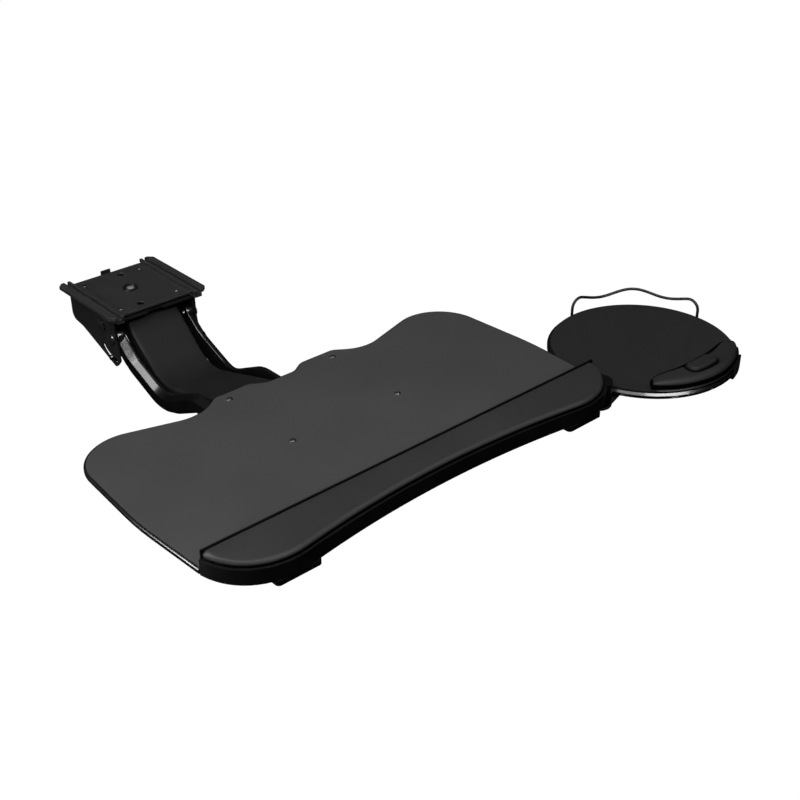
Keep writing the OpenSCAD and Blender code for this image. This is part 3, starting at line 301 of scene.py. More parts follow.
# A black collar whose middle, inside a radius about the Z axis, is bare steel
def collarFinish(name, look):
    material = coatFinish(name, look)
    tree, shader = material.node_tree, material.node_tree.nodes["Principled BSDF"]
    coords = addNode(tree, "ShaderNodeTexCoord")
    flat = addNode(tree, "ShaderNodeVectorMath", {"operation": "MULTIPLY"})
    flat.inputs[1].default_value = (1, 1, 0)
    join(tree, coords.outputs["Object"], flat.inputs[0])
    length = addNode(tree, "ShaderNodeVectorMath", {"operation": "LENGTH"})
    join(tree, flat.outputs["Vector"], length.inputs[0])
    bare = look["bareRadius"]
    inside = spread(tree, length.outputs["Value"], 1.0, 0.0, bare, bare + look["bareBlend"])
    tint = addNode(tree, "ShaderNodeMix", {"data_type": "RGBA"})
    join(tree, inside, tint.inputs["Factor"])
    join(tree, shader.inputs["Base Color"].links[0].from_socket, tint.inputs["A"])
    tint.inputs["B"].default_value = (*look["bareTone"], 1)
    join(tree, tint.outputs["Result"], shader.inputs["Base Color"])
    return material


boardLook = {"tone": (0.080, 0.080, 0.081), "grainPerMetre": 900, "grainTone": 0.10, "broadPerMetre": 9,
             "broadTone": 0.05, "rough": (0.52, 0.62), "bump": 0.25, "bumpDepth": 0.0003, "specular": 0.4}
plateLook = {"tone": (0.046, 0.046, 0.047), "grainPerMetre": 700, "grainTone": 0.10, "broadPerMetre": 40,
             "broadTone": 0.06, "rough": (0.36, 0.46), "bump": 0.2, "bumpDepth": 0.0003}
coatLook = {"tone": (0.017, 0.017, 0.0175), "grainPerMetre": 600, "grainTone": 0.10, "broadPerMetre": 30,
            "broadTone": 0.08, "rough": (0.58, 0.68), "bump": 0.18, "bumpDepth": 0.0003, "specular": 0.15}
barLook = {"tone": (0.010, 0.010, 0.011), "grainPerMetre": 350, "grainTone": 0.06, "broadPerMetre": 25,
           "broadTone": 0.08, "rough": (0.20, 0.27), "bump": 0.06, "bumpDepth": 0.0003, "coat": 0.5,
           "coatRough": 0.12}
glideLook = {"tone": (0.052, 0.052, 0.053), "grainPerMetre": 500, "grainTone": 0.08, "broadPerMetre": 35,
             "broadTone": 0.07, "rough": (0.34, 0.44), "bump": 0.12, "bumpDepth": 0.0002,
             "stretch": (1.0, 0.12, 1.0)}
mouldLook = {"tone": (0.005, 0.005, 0.0053), "grainPerMetre": 800, "grainTone": 0.08, "broadPerMetre": 30,
             "broadTone": 0.07, "rough": (0.38, 0.5), "bump": 0.2, "bumpDepth": 0.0003, "specular": 0.2}
platformLook = {"tone": (0.013, 0.013, 0.014), "grainPerMetre": 700, "grainTone": 0.06, "broadPerMetre": 20,
                "broadTone": 0.06, "rough": (0.22, 0.30), "bump": 0.08, "bumpDepth": 0.0002, "coat": 0.3}
screwLook = {"tone": (0.02, 0.02, 0.0205), "grainPerMetre": 900, "grainTone": 0.10, "broadPerMetre": 200,
             "broadTone": 0.10, "rough": (0.25, 0.35), "bump": 0.08, "bumpDepth": 0.0002}
zincLook = {"tone": (0.14, 0.14, 0.145), "grainPerMetre": 500, "grainTone": 0.10, "broadPerMetre": 90,
            "broadTone": 0.12, "rough": (0.26, 0.38), "bump": 0.10, "bumpDepth": 0.0002, "metal": 1.0}
pinLook = {"tone": (0.20, 0.20, 0.21), "grainPerMetre": 900, "grainTone": 0.12, "broadPerMetre": 60,
           "broadTone": 0.10, "rough": (0.24, 0.34), "bump": 0.10, "bumpDepth": 0.0002, "metal": 1.0,
           "stretch": (0.1, 1.0, 1.0)}
springLook = {"tone": (0.24, 0.235, 0.23), "grainPerMetre": 800, "grainTone": 0.12, "broadPerMetre": 120,
              "broadTone": 0.12, "rough": (0.26, 0.36), "bump": 0.08, "bumpDepth": 0.0002, "metal": 1.0}
bearingLook = {"tone": (0.58, 0.56, 0.50), "grainPerMetre": 700, "grainTone": 0.05, "broadPerMetre": 40,
               "broadTone": 0.05, "rough": (0.4, 0.5), "bump": 0.1, "bumpDepth": 0.0002}
fenceLook = {"tone": (0.014, 0.014, 0.015), "grainPerMetre": 900, "grainTone": 0.06, "broadPerMetre": 60,
             "broadTone": 0.06, "rough": (0.38, 0.46), "bump": 0.05, "bumpDepth": 0.0002, "specular": 0.25}
padLook = {"tone": (0.037, 0.037, 0.038), "pebblesPerMetre": 900, "pebbleTone": 0.10,
           "creaseSpan": (0.1, 0.7), "shaded": 0.04, "broadPerMetre": 14, "broadTone": 0.06,
           "rough": (0.56, 0.66), "bump": 0.25, "bumpDepth": 0.0003, "specular": 0.3}
clothLook = {"tone": (0.024, 0.024, 0.0245), "threadsPerMetre": 900, "weaveTone": 0.25, "broadPerMetre": 12,
             "broadTone": 0.06, "rough": 0.9, "bump": 0.3, "bumpDepth": 0.0003, "specular": 0.2}
collarLook = {"tone": (0.006, 0.006, 0.006), "grainPerMetre": 600, "grainTone": 0.10, "broadPerMetre": 30,
              "broadTone": 0.08, "rough": (0.35, 0.45), "bump": 0.1, "bumpDepth": 0.0003,
              "bareRadius": 0.0042, "bareBlend": 0.0006, "bareTone": (0.35, 0.35, 0.36)}
finishes = {
    "board_laminate": coatFinish("boardLaminate", boardLook),
    "plate_steel": coatFinish("plateCoat", plateLook),
    "dark_steel": coatFinish("satinBlackCoat", coatLook),
    "bar_steel": coatFinish("glossBlackCoat", barLook),
    "glide_plastic": coatFinish("glidePlastic", glideLook),
    "bearing_plastic": coatFinish("bearingPlastic", bearingLook),
    "black_plastic": coatFinish("blackMoulding", mouldLook),
    "platform_plastic": coatFinish("platformMoulding", platformLook),
    "screw_black": coatFinish("blackenedScrew", screwLook),
    "bright_steel": coatFinish("zincPlate", zincLook),
    "pin_steel": coatFinish("pinSteel", pinLook),
    "spring_steel": coatFinish("springWire", springLook),
    "fence_wire": coatFinish("coatedWire", fenceLook),
    "pad_skin": skinFinish("padSkin", padLook),
    "surface_cloth": wovenFinish("mouseCloth", clothLook),
}
print("finishes made:", len(finishes))


# Gives a new piece the finish made for a slot of the record
def dress(piece, slotName):
    piece.data.materials.clear()
    piece.data.materials.append(finishes[slotName])
    return piece


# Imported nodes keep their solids: doubled points are welded and hard edges get a small round
edgeRound = {"default": 0.45, "glide_plate": 0.3, "left_glide": 0.35, "right_glide": 0.35,
             "left_cheek": 0.6, "right_cheek": 0.6, "swivel_plate": 0.7, "mouse_platform": 0.4,
             "mouse_surface": 0.3, "palm_base": 0.5, "tilt_head": 1.0, "tilt_knob": 1.2, "mouse_clip": 1.2,
             "palm_clips": 1.0, "board_screws": 0.15, "glide_rivets": 0.12, "swivel_stud": 0.3}
solidShape = {"weld": 0.01, "segments": 2, "hardAngle": 35.0}
slotOf = {part["node"]: part["material_slot"] for part in frame["record"]["subparts"]}
for node, solid in cad.items():
    solid.data.materials.clear()
    solid.data.materials.append(finishes[slotOf[node]])
    weld = solid.modifiers.new("joinPoints", "WELD")
    weld.merge_threshold = solidShape["weld"] * mm
    rounding = solid.modifiers.new("edgeRound", "BEVEL")
    rounding.width = edgeRound.get(node, edgeRound["default"]) * mm
    rounding.segments = solidShape["segments"]
    rounding.limit_method = "ANGLE"
    rounding.angle_limit = math.radians(solidShape["hardAngle"])
    rounding.harden_normals = True
    rounding.use_clamp_overlap = True
cad["swivel_stud"].data.materials[0] = collarFinish("studCollar", collarLook)
print("packed nodes dressed")

# Board: a hollow front arc set in behind the palm rest's wall, bowed sides and a waved rear edge
boardShape = {"half": 252.0, "frontHalf": 247.0, "thick": 6.4, "depth": 37.0, "length": 225.0,
              "sweep": 1040.0, "frontCorner": 78.0, "rearCorner": 52.0, "screwX": 67.5, "wall": 2.55,
              "edge": 2.4, "underEdge": 2.4, "band": 0.12, "bandIn": 3.0, "bandDeep": 1.2, "widest": 0.4,
              "bow": 1.4, "clear": 0.3, "lobe": (10.0, 19.5), "hollow": (40.0, 20.5, 45.0),
              "ear": (10.0, 14.0), "notchFrom": (34.0, 16.0), "notchTo": (49.0, 16.0), "notch": 10.0,
              "middle": 90.0, "rings": 7, "innermost": 0.97, "spacing": 2.0}


# Front edge at x, drawn in by an inset: a parabola that rises through a quarter circle at each corner
def frontEdge(x, inset):
    s = boardShape
    corner = s["frontCorner"] - inset
    t = np.clip((np.abs(x) - s["frontHalf"] + inset + corner) / corner, 0, 1)
    return palmLine - s["depth"] + inset - x * x / (2 * s["sweep"]) + corner * (1 - np.sqrt(1 - t * t))


# Points on that edge from left to right, as far back as a line across the board
def frontPoints(inset, back):
    x = (boardShape["frontHalf"] - inset) * np.sin(np.linspace(-math.pi / 2, math.pi / 2, 241))
    points = np.stack([x, frontEdge(x, inset)], -1)
    return points[points[:, 1] < back]


# Outline: the front arc, a step out past the palm rest, then a side with round corners and its mirror image
def boardOutline():
    s = boardShape
    front = frontPoints(s["wall"], palmLine)
    ear = palmLine + s["length"]
    screw, clear = s["screwX"], palmLine + s["clear"]
    side = filletPath([(s["frontHalf"], clear, 0),
                       (s["half"], palmLine + s["length"] * s["widest"], s["bow"] * s["half"]),
                       (s["half"] - s["lobe"][0], ear + s["lobe"][1], s["rearCorner"]),
                       (screw + s["hollow"][0], ear - s["hollow"][1], s["hollow"][2]),
                       (screw + s["ear"][0], ear, s["ear"][1]),
                       (screw - s["notchFrom"][0], ear, s["notchFrom"][1]),
                       (screw - s["notchTo"][0], ear - s["notch"], s["notchTo"][1]),
                       (0, ear - s["notch"], 0)])
    step = np.array([[front[-1, 0], clear]])
    loop = np.vstack([front, step, side[:-1], (side[:-1] * (-1, 1))[::-1], step * (-1, 1), front[:1]])
    return evenPath(loop, s["spacing"])[:-1]


# The edge's section as (inset, z): a quarter circle at the top and one below, grown by a skin
def edgeSection(skin):
    s = boardShape
    arc = quarterTurn(6)
    drop, inset = 1 - np.cos(arc), 1 - np.sin(arc)
    upper = np.stack([s["edge"] * inset - skin, skin / 4 - s["edge"] * drop], -1)
    low = s["underEdge"] * drop[::-1] - s["thick"] - skin / 4
    lower = np.stack([s["underEdge"] * inset[::-1] - skin, low], -1)
    return np.vstack([upper, lower])


# That section carried round the outline
def edgeRings(section):
    loop = boardOutline()
    way = np.roll(loop, -1, 0) - np.roll(loop, 1, 0)
    way /= np.linalg.norm(way, axis=1, keepdims=True)
    inward = np.stack([-way[:, 1], way[:, 0]], -1)
    flat = loop[None] + inward[None] * section[:, :1, None]
    return np.concatenate([flat, np.broadcast_to(section[:, 1:, None], (*flat.shape[:2], 1))], -1)


# Rings: out from the middle over the top, round the edge, back under to the middle
def boardGrid():
    s = boardShape
    wall = edgeRings(edgeSection(0.0))
    loop = wall[0]
    centre = np.array((0.0, palmLine + s["middle"]))
    shrink = np.linspace(0, s["innermost"], s["rings"])[:, None, None]
    flatTop = centre + (wall[:1, :, :2] - centre) * shrink
    flatUnder = centre + (wall[-1:, :, :2] - centre) * shrink[::-1]
    level = np.zeros((s["rings"], len(loop), 1))
    top = np.concatenate([flatTop, level], -1)
    under = np.concatenate([flatUnder, level - s["thick"]], -1)
    return np.concatenate([top, wall, under], 0)


board = gridPiece("boardPanel", boardGrid(), "tray", sharp=60)
dress(board, "board_laminate")
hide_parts("board")
s = boardShape
bandTop = (s["bandIn"], -s["bandDeep"])
bandFoot = (s["bandIn"], s["bandDeep"] - s["thick"])
band = edgeRings(np.vstack([bandTop, edgeSection(s["band"]), bandFoot]))
dress(gridPiece("boardEdgeBand", band, "tray", wrapRows=True, sharp=60), "platform_plastic")
print("board:", len(board.data.polygons), "faces, with its edge band")

# Palm rest: sections that slope down to the front, with a small round behind and a larger one ahead
palmShape = {"inset": 2.9, "end": 1.6, "lip": 1.2, "height": 17.4, "frontHeight": 15.5, "base": 2.5,
             "edge": 5.0, "rearEdge": 1.5, "crown": 0.4, "skirt": 12.6, "skirtBlend": 1.2, "endFall": 0.9,
             "foreShare": 0.5, "backShare": 0.2, "fullCrownDepth": 30.0, "sections": 221}


# Each section: up the rear wall, a quarter circle, the crowned slope, a quarter circle, down and back under
def palmGrid():
    s = palmShape
    half = boardShape["frontHalf"] - s["inset"] - s["end"]
    x = half * np.sin(np.linspace(-1, 1, s["sections"]) * math.pi / 2)[:, None]
    front, rear = frontEdge(x, s["inset"]), palmLine - s["lip"]
    depth = rear - front
    over = np.clip((np.abs(x) - half + s["edge"]) / s["edge"], 0, 1)
    fall = s["edge"] * (1 - np.sqrt(1 - s["endFall"] * over**2))
    fore = np.minimum(s["edge"], s["foreShare"] * depth)
    back = np.minimum(s["rearEdge"], s["backShare"] * depth)
    slope = (s["height"] - s["frontHeight"]) / (boardShape["depth"] - s["inset"] - s["lip"] - s["edge"])
    high = s["height"] - fall
    low = np.maximum(s["frontHeight"], high - slope * (depth - fore)) - fall / 2
    arc = quarterTurn(9)[None]
    flat = np.linspace(0, 1, 12)[None, 1:-1]
    swell = s["crown"] * np.sin(math.pi * flat) * np.clip(depth / s["fullCrownDepth"], 0, 1)
    up = np.linspace(0, 1, 5)[None, :-1]
    floor = np.linspace(1, 0, 7)[None, 1:-1]
    y = np.concatenate([rear + 0 * up * x, rear - back * (1 - np.cos(arc)),
                        rear - back - (depth - back - fore) * flat,
                        front + fore * (1 - np.sin(arc)), front + 0 * up, front + depth * floor[:, ::-1]], 1)
    z = np.concatenate([s["base"] + (high - back - s["base"]) * up, high - back * (1 - np.sin(arc)),
                        high + (low - high) * flat + swell, low - fore * (1 - np.cos(arc)),
                        s["base"] + (low - fore - s["base"]) * up[:, ::-1],
                        s["base"] + 0 * depth * floor], 1)
    return np.stack([np.repeat(x, y.shape[1], 1), y, z], -1)


# Shade: a number at each point, 1 where the skin goes black
def addShade(mesh, shade):
    mesh.attributes.new("shade", "FLOAT", "POINT").data.foreach_set("value", np.clip(shade, 0, 1))


palm = gridPiece("palmRest", palmGrid(), "tray", caps=True, sharp=70)
dress(palm, "pad_skin")
palmZ = np.array([point.co.z for point in palm.data.vertices]) / mm
# Painted shade: the skin below the skirt height goes black, for the shadowed lower sides of the pad
addShade(palm.data, (palmShape["skirt"] - palmZ) / palmShape["skirtBlend"])
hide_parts("palm_pad")
print("palm rest:", len(palm.data.polygons), "faces")

# Mouse palm rest: sections round the platform's rim, with an oblong button and a groove on two of its sides
mouseShape = {"middle": (368.914, -484.424), "span": 93.0, "towards": 270.0, "outer": 104.5, "depth": 38.0,
              "endDepth": 23.0, "floor": -18.1, "height": 10.0, "button": 3.5, "buttonAt": (-3.0, 83.5),
              "buttonHalf": (20.5, 9.0), "groove": 1.6, "skirt": 5.0, "blackInnerEdge": 0.27, "shade": 0.22,
              "blackInnerEdgeBlend": 0.05, "endFrom": 0.96, "endBlend": 0.02, "skirtBlend": 0.8, "endPower": 7,
              "endNarrow": 0.8, "endFall": 0.75, "endIn": 2.0, "swell": 0.8, "crownPower": 5,
              "buttonRound": 7.0, "buttonEdge": 0.9, "buttonSeat": 1.4, "grooveAt": 1.0, "grooveWidth": 1.4,
              "grooveAlong": (4.0, 10.0), "grooveAcross": (2.0, 4.0), "sweep": 0.985, "sections": 161,
              "across": 49, "thinUnder": 6}


# Depth, height and outer radius at a share of the way from the middle to an end
def padSize(t):
    s = mouseShape
    end = np.clip(np.abs(t), 0, 1) ** s["endPower"]
    swell = np.cos(math.pi / 2 * np.clip(t * s["swell"], -1, 1)) ** 2
    depth = (s["endDepth"] + (s["depth"] - s["endDepth"]) * swell) * np.sqrt(1 - end * s["endNarrow"])
    return depth, s["height"] * np.sqrt(1 - end * s["endFall"]), s["outer"] - s["endIn"] * end


# Signed distance from the button's round outline, and how much of the groove runs there
def fromButton(t, radius):
    s = mouseShape
    alongRim = np.radians(s["span"] / 2 * t - s["buttonAt"][0]) * s["buttonAt"][1]
    acrossRim = radius - s["buttonAt"][1]
    corner = np.stack(np.broadcast_arrays(alongRim, acrossRim), -1)
    corner = np.maximum(np.abs(corner) - (np.array(s["buttonHalf"]) - s["buttonRound"]), 0)
    away = np.linalg.norm(corner, axis=-1) - s["buttonRound"]
    alongFrom, alongOver = s["grooveAlong"]
    acrossFrom, acrossOver = s["grooveAcross"]
    onEnd = np.clip((-alongRim - alongFrom) / alongOver, 0, 1)
    onFlank = np.clip((acrossRim - acrossFrom) / acrossOver, 0, 1)
    return away, np.exp(-((away - s["grooveAt"]) / s["grooveWidth"]) ** 2) * np.clip(onEnd + onFlank, 0, 1)


# Height: a crown from a power of the way across, with a soft step up at the button, less the groove
def mousePadGrid():
    s = mouseShape
    t = np.sin(np.linspace(-1, 1, s["sections"]) * math.pi / 2 * s["sweep"])[:, None]
    turn = np.radians(s["towards"] + s["span"] / 2 * t)
    depth, tall, rim = padSize(t)
    across = 0.5 - 0.5 * np.cos(np.linspace(0, math.pi, s["across"]))[None]
    crown = np.clip(1 - np.abs(2 * across - 1) ** s["crownPower"], 0, 1) ** 0.5
    radius = rim - depth + depth * across
    away, groove = fromButton(t, radius)
    lift = s["button"] / (1 + np.exp(away / s["buttonEdge"]))
    dip = s["groove"] * groove
    z = s["floor"] + tall * crown + (lift - dip) * np.clip(crown * s["buttonSeat"], 0, 1)
    z[:, 0] = z[:, -1] = s["floor"]
    back = across[:, -2:0:-s["thinUnder"]]  # the flat underside needs fewer points
    backRadius = rim - depth + depth * back
    allRadius = np.concatenate([radius, backRadius], 1)
    allZ = np.concatenate([z, np.full_like(backRadius, s["floor"])], 1)
    x = s["middle"][0] + allRadius * np.cos(turn)
    return np.stack([x, s["middle"][1] + allRadius * np.sin(turn), allZ], -1)


# Shade: a darker tone all over, black along the inner edge, at the ends and on the outer skirt, painted
# shade in the groove
def shadeMousePad(mesh):
    s = mouseShape
    at = np.array([point.co[:] for point in mesh.vertices]) / mm
    out = at[:, :2] - s["middle"]
    radius = np.linalg.norm(out, axis=1)
    turn = np.degrees(np.arctan2(out[:, 1], out[:, 0])) - s["towards"]
    t = ((turn + 180) % 360 - 180) / (s["span"] / 2)
    depth, _, rim = padSize(t)
    across = (radius - rim + depth) / depth
    # Black along the inner edge, from a threshold of the way across the pad
    shade = s["shade"] + np.clip((s["blackInnerEdge"] - across) / s["blackInnerEdgeBlend"], 0, 1)
    # Painted shade in the groove beside the button, added to the black ends
    shade += np.clip((np.abs(t) - s["endFrom"]) / s["endBlend"], 0, 1) + fromButton(t, radius)[1]
    shade += np.clip((s["skirt"] - at[:, 2] + s["floor"]) / s["skirtBlend"], 0, 1) * (across > 0.5)
    addShade(mesh, shade)


mousePad = gridPiece("mousePalmRest", mousePadGrid(), "mouse_palm", caps=True, sharp=75)
dress(mousePad, "pad_skin")
shadeMousePad(mousePad.data)
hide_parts("mouse_palm_pad")
print("mouse palm rest:", len(mousePad.data.polygons), "faces")

# Platform rim: a thin turned ring over the chamfer, so that its gloss runs unbroken
rimShape = {"top": (104.7, -22.4), "edge": (107.12, -24.9), "thick": 1.0, "ease": (0.25, 0.05),
            "sides": 240}


# Ring: down the chamfer with an eased start and end, then back beneath it
def rimGrid():
    s = rimShape
    (r0, z0), (r1, z1) = s["top"], s["edge"]
    wide, slim = s["ease"]
    profile = np.array([(r0, z0), (r0 + wide, z0 - slim), (r1 - slim, z1 + wide), (r1, z1),
                        (r1 - s["thick"], z1), (r0, z0 - s["thick"])])
    turn = fullTurn(s["sides"])[None]
    middle = mouseShape["middle"]
    return np.stack([middle[0] + profile[:, :1] * np.cos(turn), middle[1] + profile[:, :1] * np.sin(turn),
                     np.repeat(profile[:, 1:], s["sides"], 1)], -1)


dress(gridPiece("platformRim", rimGrid(), "mouse_side", wrapRows=True, sharp=30), "platform_plastic")
print("platform rim made")

# Fence: up one leg, round a shoulder, waves as a cosine along the rim, down the other leg
fenceShape = {"wire": 3.4, "radius": 105.2, "towards": 46.0, "span": 88.5, "height": 15.6, "wave": 3.9,
              "shoulder": 7.5, "waveTurn": 44.0, "top": -20.0, "foot": -6.3, "legBelow": 8.0,
              "legShare": 0.6, "bend": 80.0, "lift": 0.6, "near": 3, "sides": 14}


# Route as (degrees round the rim, height), smoothed by the mean of each point's neighbours
def fenceGrid():
    s = fenceShape
    half, flat = s["span"] / 2, s["span"] / 2 - s["shoulder"]
    legTop = s["height"] - s["legBelow"]
    bend = np.radians(np.linspace(0, s["bend"], 12))
    crestEnd = s["height"] + s["wave"] * math.cos(2 * math.pi * flat / s["waveTurn"]) + s["lift"]
    rise = legTop + (crestEnd - legTop) * np.sin(bend)
    shoulder = np.stack([flat + s["shoulder"] * np.cos(bend), rise], -1)
    side = np.vstack([[[half, s["foot"]], [half, 0.0], [half, legTop * s["legShare"]]], shoulder])
    a = np.linspace(flat, -flat, 120)
    crest = np.stack([a, s["height"] + s["wave"] * np.cos(2 * math.pi * a / s["waveTurn"])], -1)
    route = np.vstack([side, crest, (side * (-1, 1))[::-1]])
    unrolled = np.array((math.radians(1) * s["radius"], 1.0))  # mm to each degree, so that spacing is even
    route = evenPath(route * unrolled, 1.0) / unrolled
    turn = np.radians(s["towards"] + route[:, 0])
    out = np.stack([np.cos(turn), np.sin(turn), 0 * turn], -1)
    path = out * s["radius"] + np.array((*mouseShape["middle"], 0.0))
    path[:, 2] = s["top"] + route[:, 1]
    smooth = path.copy()
    near = s["near"]
    around = [path[near + k:len(path) - near + k] for k in range(-near, near + 1)]
    smooth[near:-near] = sum(around) / len(around)
    return tubeGrid(smooth, out, s["wire"] / 2, s["sides"])


fence = gridPiece("mouseFence", fenceGrid(), "mouse_side", caps=True)
dress(fence, "fence_wire")
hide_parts("mouse_fence")
print("fence:", len(fence.data.polygons), "faces")

# Side bars: a section with a slanted outer shoulder on an S-shaped path, with a turned eye at the front
barShape = {"inner": 42.6, "width": 9.9, "height": 23.5, "rise": -0.3, "slant": (6.2, 6.0),
            "under": (7.4, 4.5), "bend": (31.5, 26.0, 25.0), "dip": (94.5, 52.0, 52.0),
            "shoulder": (74.0, 45.0), "start": 33.0, "eyeFrom": 42.5, "eyeTo": 52.5, "eye": 11.0,
            "boss": 8.0, "bossFrom": 33.8, "bore": 5.05, "past": 4.0, "eyeEdge": 1.6, "bossEdge": 0.5,
            "bossPast": 0.5, "spacing": 1.5}
knuckleShape = {"inner": 42.5, "width": 10.0, "heights": (18.6, 20.0), "length": 34.0, "slant": (7.0, 5.5),
                "under": (1.5, 1.5), "ribs": 3, "ribDepth": 0.7, "round": 11.6, "lug": 6.7, "lugFrom": 47.5,
                "stopArc": 27.5, "stopAngle": -78.0, "eyeEdge": 1.6, "lugEdge": 0.5, "sections": 24,
                "lugSteps": 25}
sectionShape = {"start": 1.0, "lowRound": 0.8, "slantRound": 1.2, "topRound": 1.0, "spacing": 0.4,
                "ribReach": 0.8}


# Section as (outward, up) points: a box with its outer corners cut, and shallow ribs on the upper cut
def barSection(width, height, slant, under, ribs=0, depth=0.0):
    h, c = height / 2, sectionShape
    loop = filletPath([(c["start"], -h, 0), (width - under[0], -h, c["lowRound"]),
                       (width, under[1] - h, c["lowRound"]), (width, h - slant[1], c["slantRound"]),
                       (width - slant[0], h, c["slantRound"]), (0, h, c["topRound"]),
                       (0, -h, c["lowRound"]), (c["start"], -h, 0)])
    loop = evenPath(loop, c["spacing"])[:-1]
    long = math.hypot(*slant)
    fromCut = loop - (width, h - slant[1])
    along, square = np.array(((-slant[0], slant[1]), (slant[1], slant[0]))) / long
    t = fromCut @ along / long
    onCut = (np.abs(fromCut @ square) < c["ribReach"]) & (t > 0) & (t < 1)
    dip = np.where(onCut, depth * (0.5 - 0.5 * np.cos(2 * math.pi * ribs * t)), 0)
    return loop - dip[:, None] * square


# A section carried along a (Y, Z) path: rings square to the path, mirrored for the left side
def carried(path, section, sign, inner):
    ahead = alongPath(path)
    up = np.stack([-ahead[:, 1], ahead[:, 0]], -1)
    up *= np.sign(up[:, 1:])
    yz = path[:, None] + up[:, None] * section[..., 1:]
    x = np.broadcast_to(sign * (inner + section[..., :1]), (*yz.shape[:2], 1))
    return np.concatenate([x, yz], -1)


# Path: down from the pivot by a bend to a dip, then up to a shoulder and level on to the front eye
def barGrid(sign):
    s = barShape
    rear, fore = pivots["bar"], pivots["barFront"]
    way = -np.array(s["bend"][:2])
    begin = rear + way / np.linalg.norm(way) * s["start"]
    path = filletPath([(*begin, 0), (*(rear + way), s["bend"][2]), (*(rear - s["dip"][:2]), s["dip"][2]),
                       (fore[0] + s["shoulder"][0], fore[1], s["shoulder"][1]),
                       (fore[0] + s["past"], fore[1], 0)])
    section = barSection(s["width"], s["height"], s["slant"], s["under"]) + (0, s["rise"])
    return carried(evenPath(path, s["spacing"]), section[None], sign, s["inner"])


# The knuckle's section grows a little from the pivot to the bar
def knuckleGrid(sign):
    s = knuckleShape
    way = -np.array(barShape["bend"][:2]) / math.hypot(*barShape["bend"][:2])
    run = np.linspace(0, 1, s["sections"])[:, None]
    path = pivots["bar"] + run * s["length"] * way
    cuts = s["slant"], s["under"], s["ribs"], s["ribDepth"]
    ends = [barSection(s["width"], h, *cuts) for h in s["heights"]]
    count = min(len(e) for e in ends)
    ends = [e[np.linspace(0, len(e) - 1, count).round().astype(int)] for e in ends]
    return carried(path, ends[0] + (ends[1] - ends[0]) * run[..., None], sign, s["inner"])


# Stop lug: a belt round the bars' pivot and the stop rod, two rings deep
def lugGrid(x0, x1):
    s = knuckleShape
    turn = math.radians(s["stopAngle"])
    rod = pivots["bar"] + s["stopArc"] * np.array((math.cos(turn), math.sin(turn)))
    steps = s["lugSteps"]
    half = np.linspace(0, math.pi, steps)
    ends = np.concatenate([turn - math.pi / 2 + half, turn + math.pi / 2 + half])
    centre = np.repeat([rod, pivots["bar"]], steps, 0)
    loop = centre + s["lug"] * np.stack([np.cos(ends), np.sin(ends)], -1)
    return np.stack([np.column_stack([np.full(2 * steps, x), loop]) for x in (x0, x1)])


# A turned sleeve on a bar, bored for its pin
def turnedOnBar(name, centre, x0, x1, outer, edge):
    sleeve = turnedX(centre, sleeveProfile(min(x0, x1), max(x0, x1), outer, barShape["bore"], edge))
    return dress(gridPiece(name, sleeve, "side_bars", wrapRows=True), "bar_steel")


for sign, sideName in ((-1, "left"), (1, "right")):
    s, k = barShape, knuckleShape
    bar = dress(gridPiece(sideName + "SideBar", barGrid(sign), "side_bars", caps=True), "bar_steel")
    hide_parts(sideName + "_side_bar")
    front, eye = pivots["barFront"], (sign * s["eyeFrom"], sign * s["eyeTo"])
    turnedOnBar(sideName + "BarEye", front, *eye, s["eye"], s["eyeEdge"])
    boss = (sign * s["bossFrom"], sign * (s["inner"] + s["bossPast"]))
    turnedOnBar(sideName + "BarBoss", front, *boss, s["boss"], s["bossEdge"])
    knuckle = dress(gridPiece(sideName + "Knuckle", knuckleGrid(sign), "side_bars", caps=True), "bar_steel")
    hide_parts(sideName + "_bar_knuckle")
    outer = k["inner"] + k["width"]
    turnedOnBar(sideName + "KnuckleEye", pivots["bar"], sign * k["inner"], sign * outer, k["round"],
                k["eyeEdge"])
    lug = gridPiece(sideName + "StopLug", lugGrid(sign * k["lugFrom"], sign * outer), "side_bars", caps=True)
    dress(lug, "bar_steel")
    rounding = lug.modifiers.new("edgeRound", "BEVEL")
    rounding.width, rounding.segments, rounding.limit_method = k["lugEdge"] * mm, 2, "ANGLE"
print("side bars made")

# Arm channel: a pressed section with rounded lips on a twice bent path, and a barrel at each end
channelShape = {"half": 34.5, "neck": 28.5, "sheet": 2.2, "lip": 15.0, "rearLip": 19.0, "round": 3.0,
                "bend": (-17.5, 5.0, 18.0), "dip": (-84.0, -56.0, 50.0), "barrel": 8.2, "seat": 7.7,
                "bore": 5.05, "neckAt": -246.5, "neckOver": 2.5, "deepFrom": -200.0, "deepOver": 60.0,
                "barrelEdge": 0.6, "spacing": 1.5, "topPoints": 15}


# Path in (Y, Z) from the front barrel's seat by a dip and a bend to the rear barrel's
def channelPath():
    s = channelShape
    rear, fore = pivots["arm"], pivots["armFront"]
    seat = np.array((0.0, s["seat"]))
    low, high = rear + s["dip"][:2], rear + s["bend"][:2]
    bends = [(*(fore + seat), 0), (*low, s["dip"][2]), (*high, s["bend"][2]), (*(rear + seat), 0)]
    return evenPath(filletPath(bends), s["spacing"])


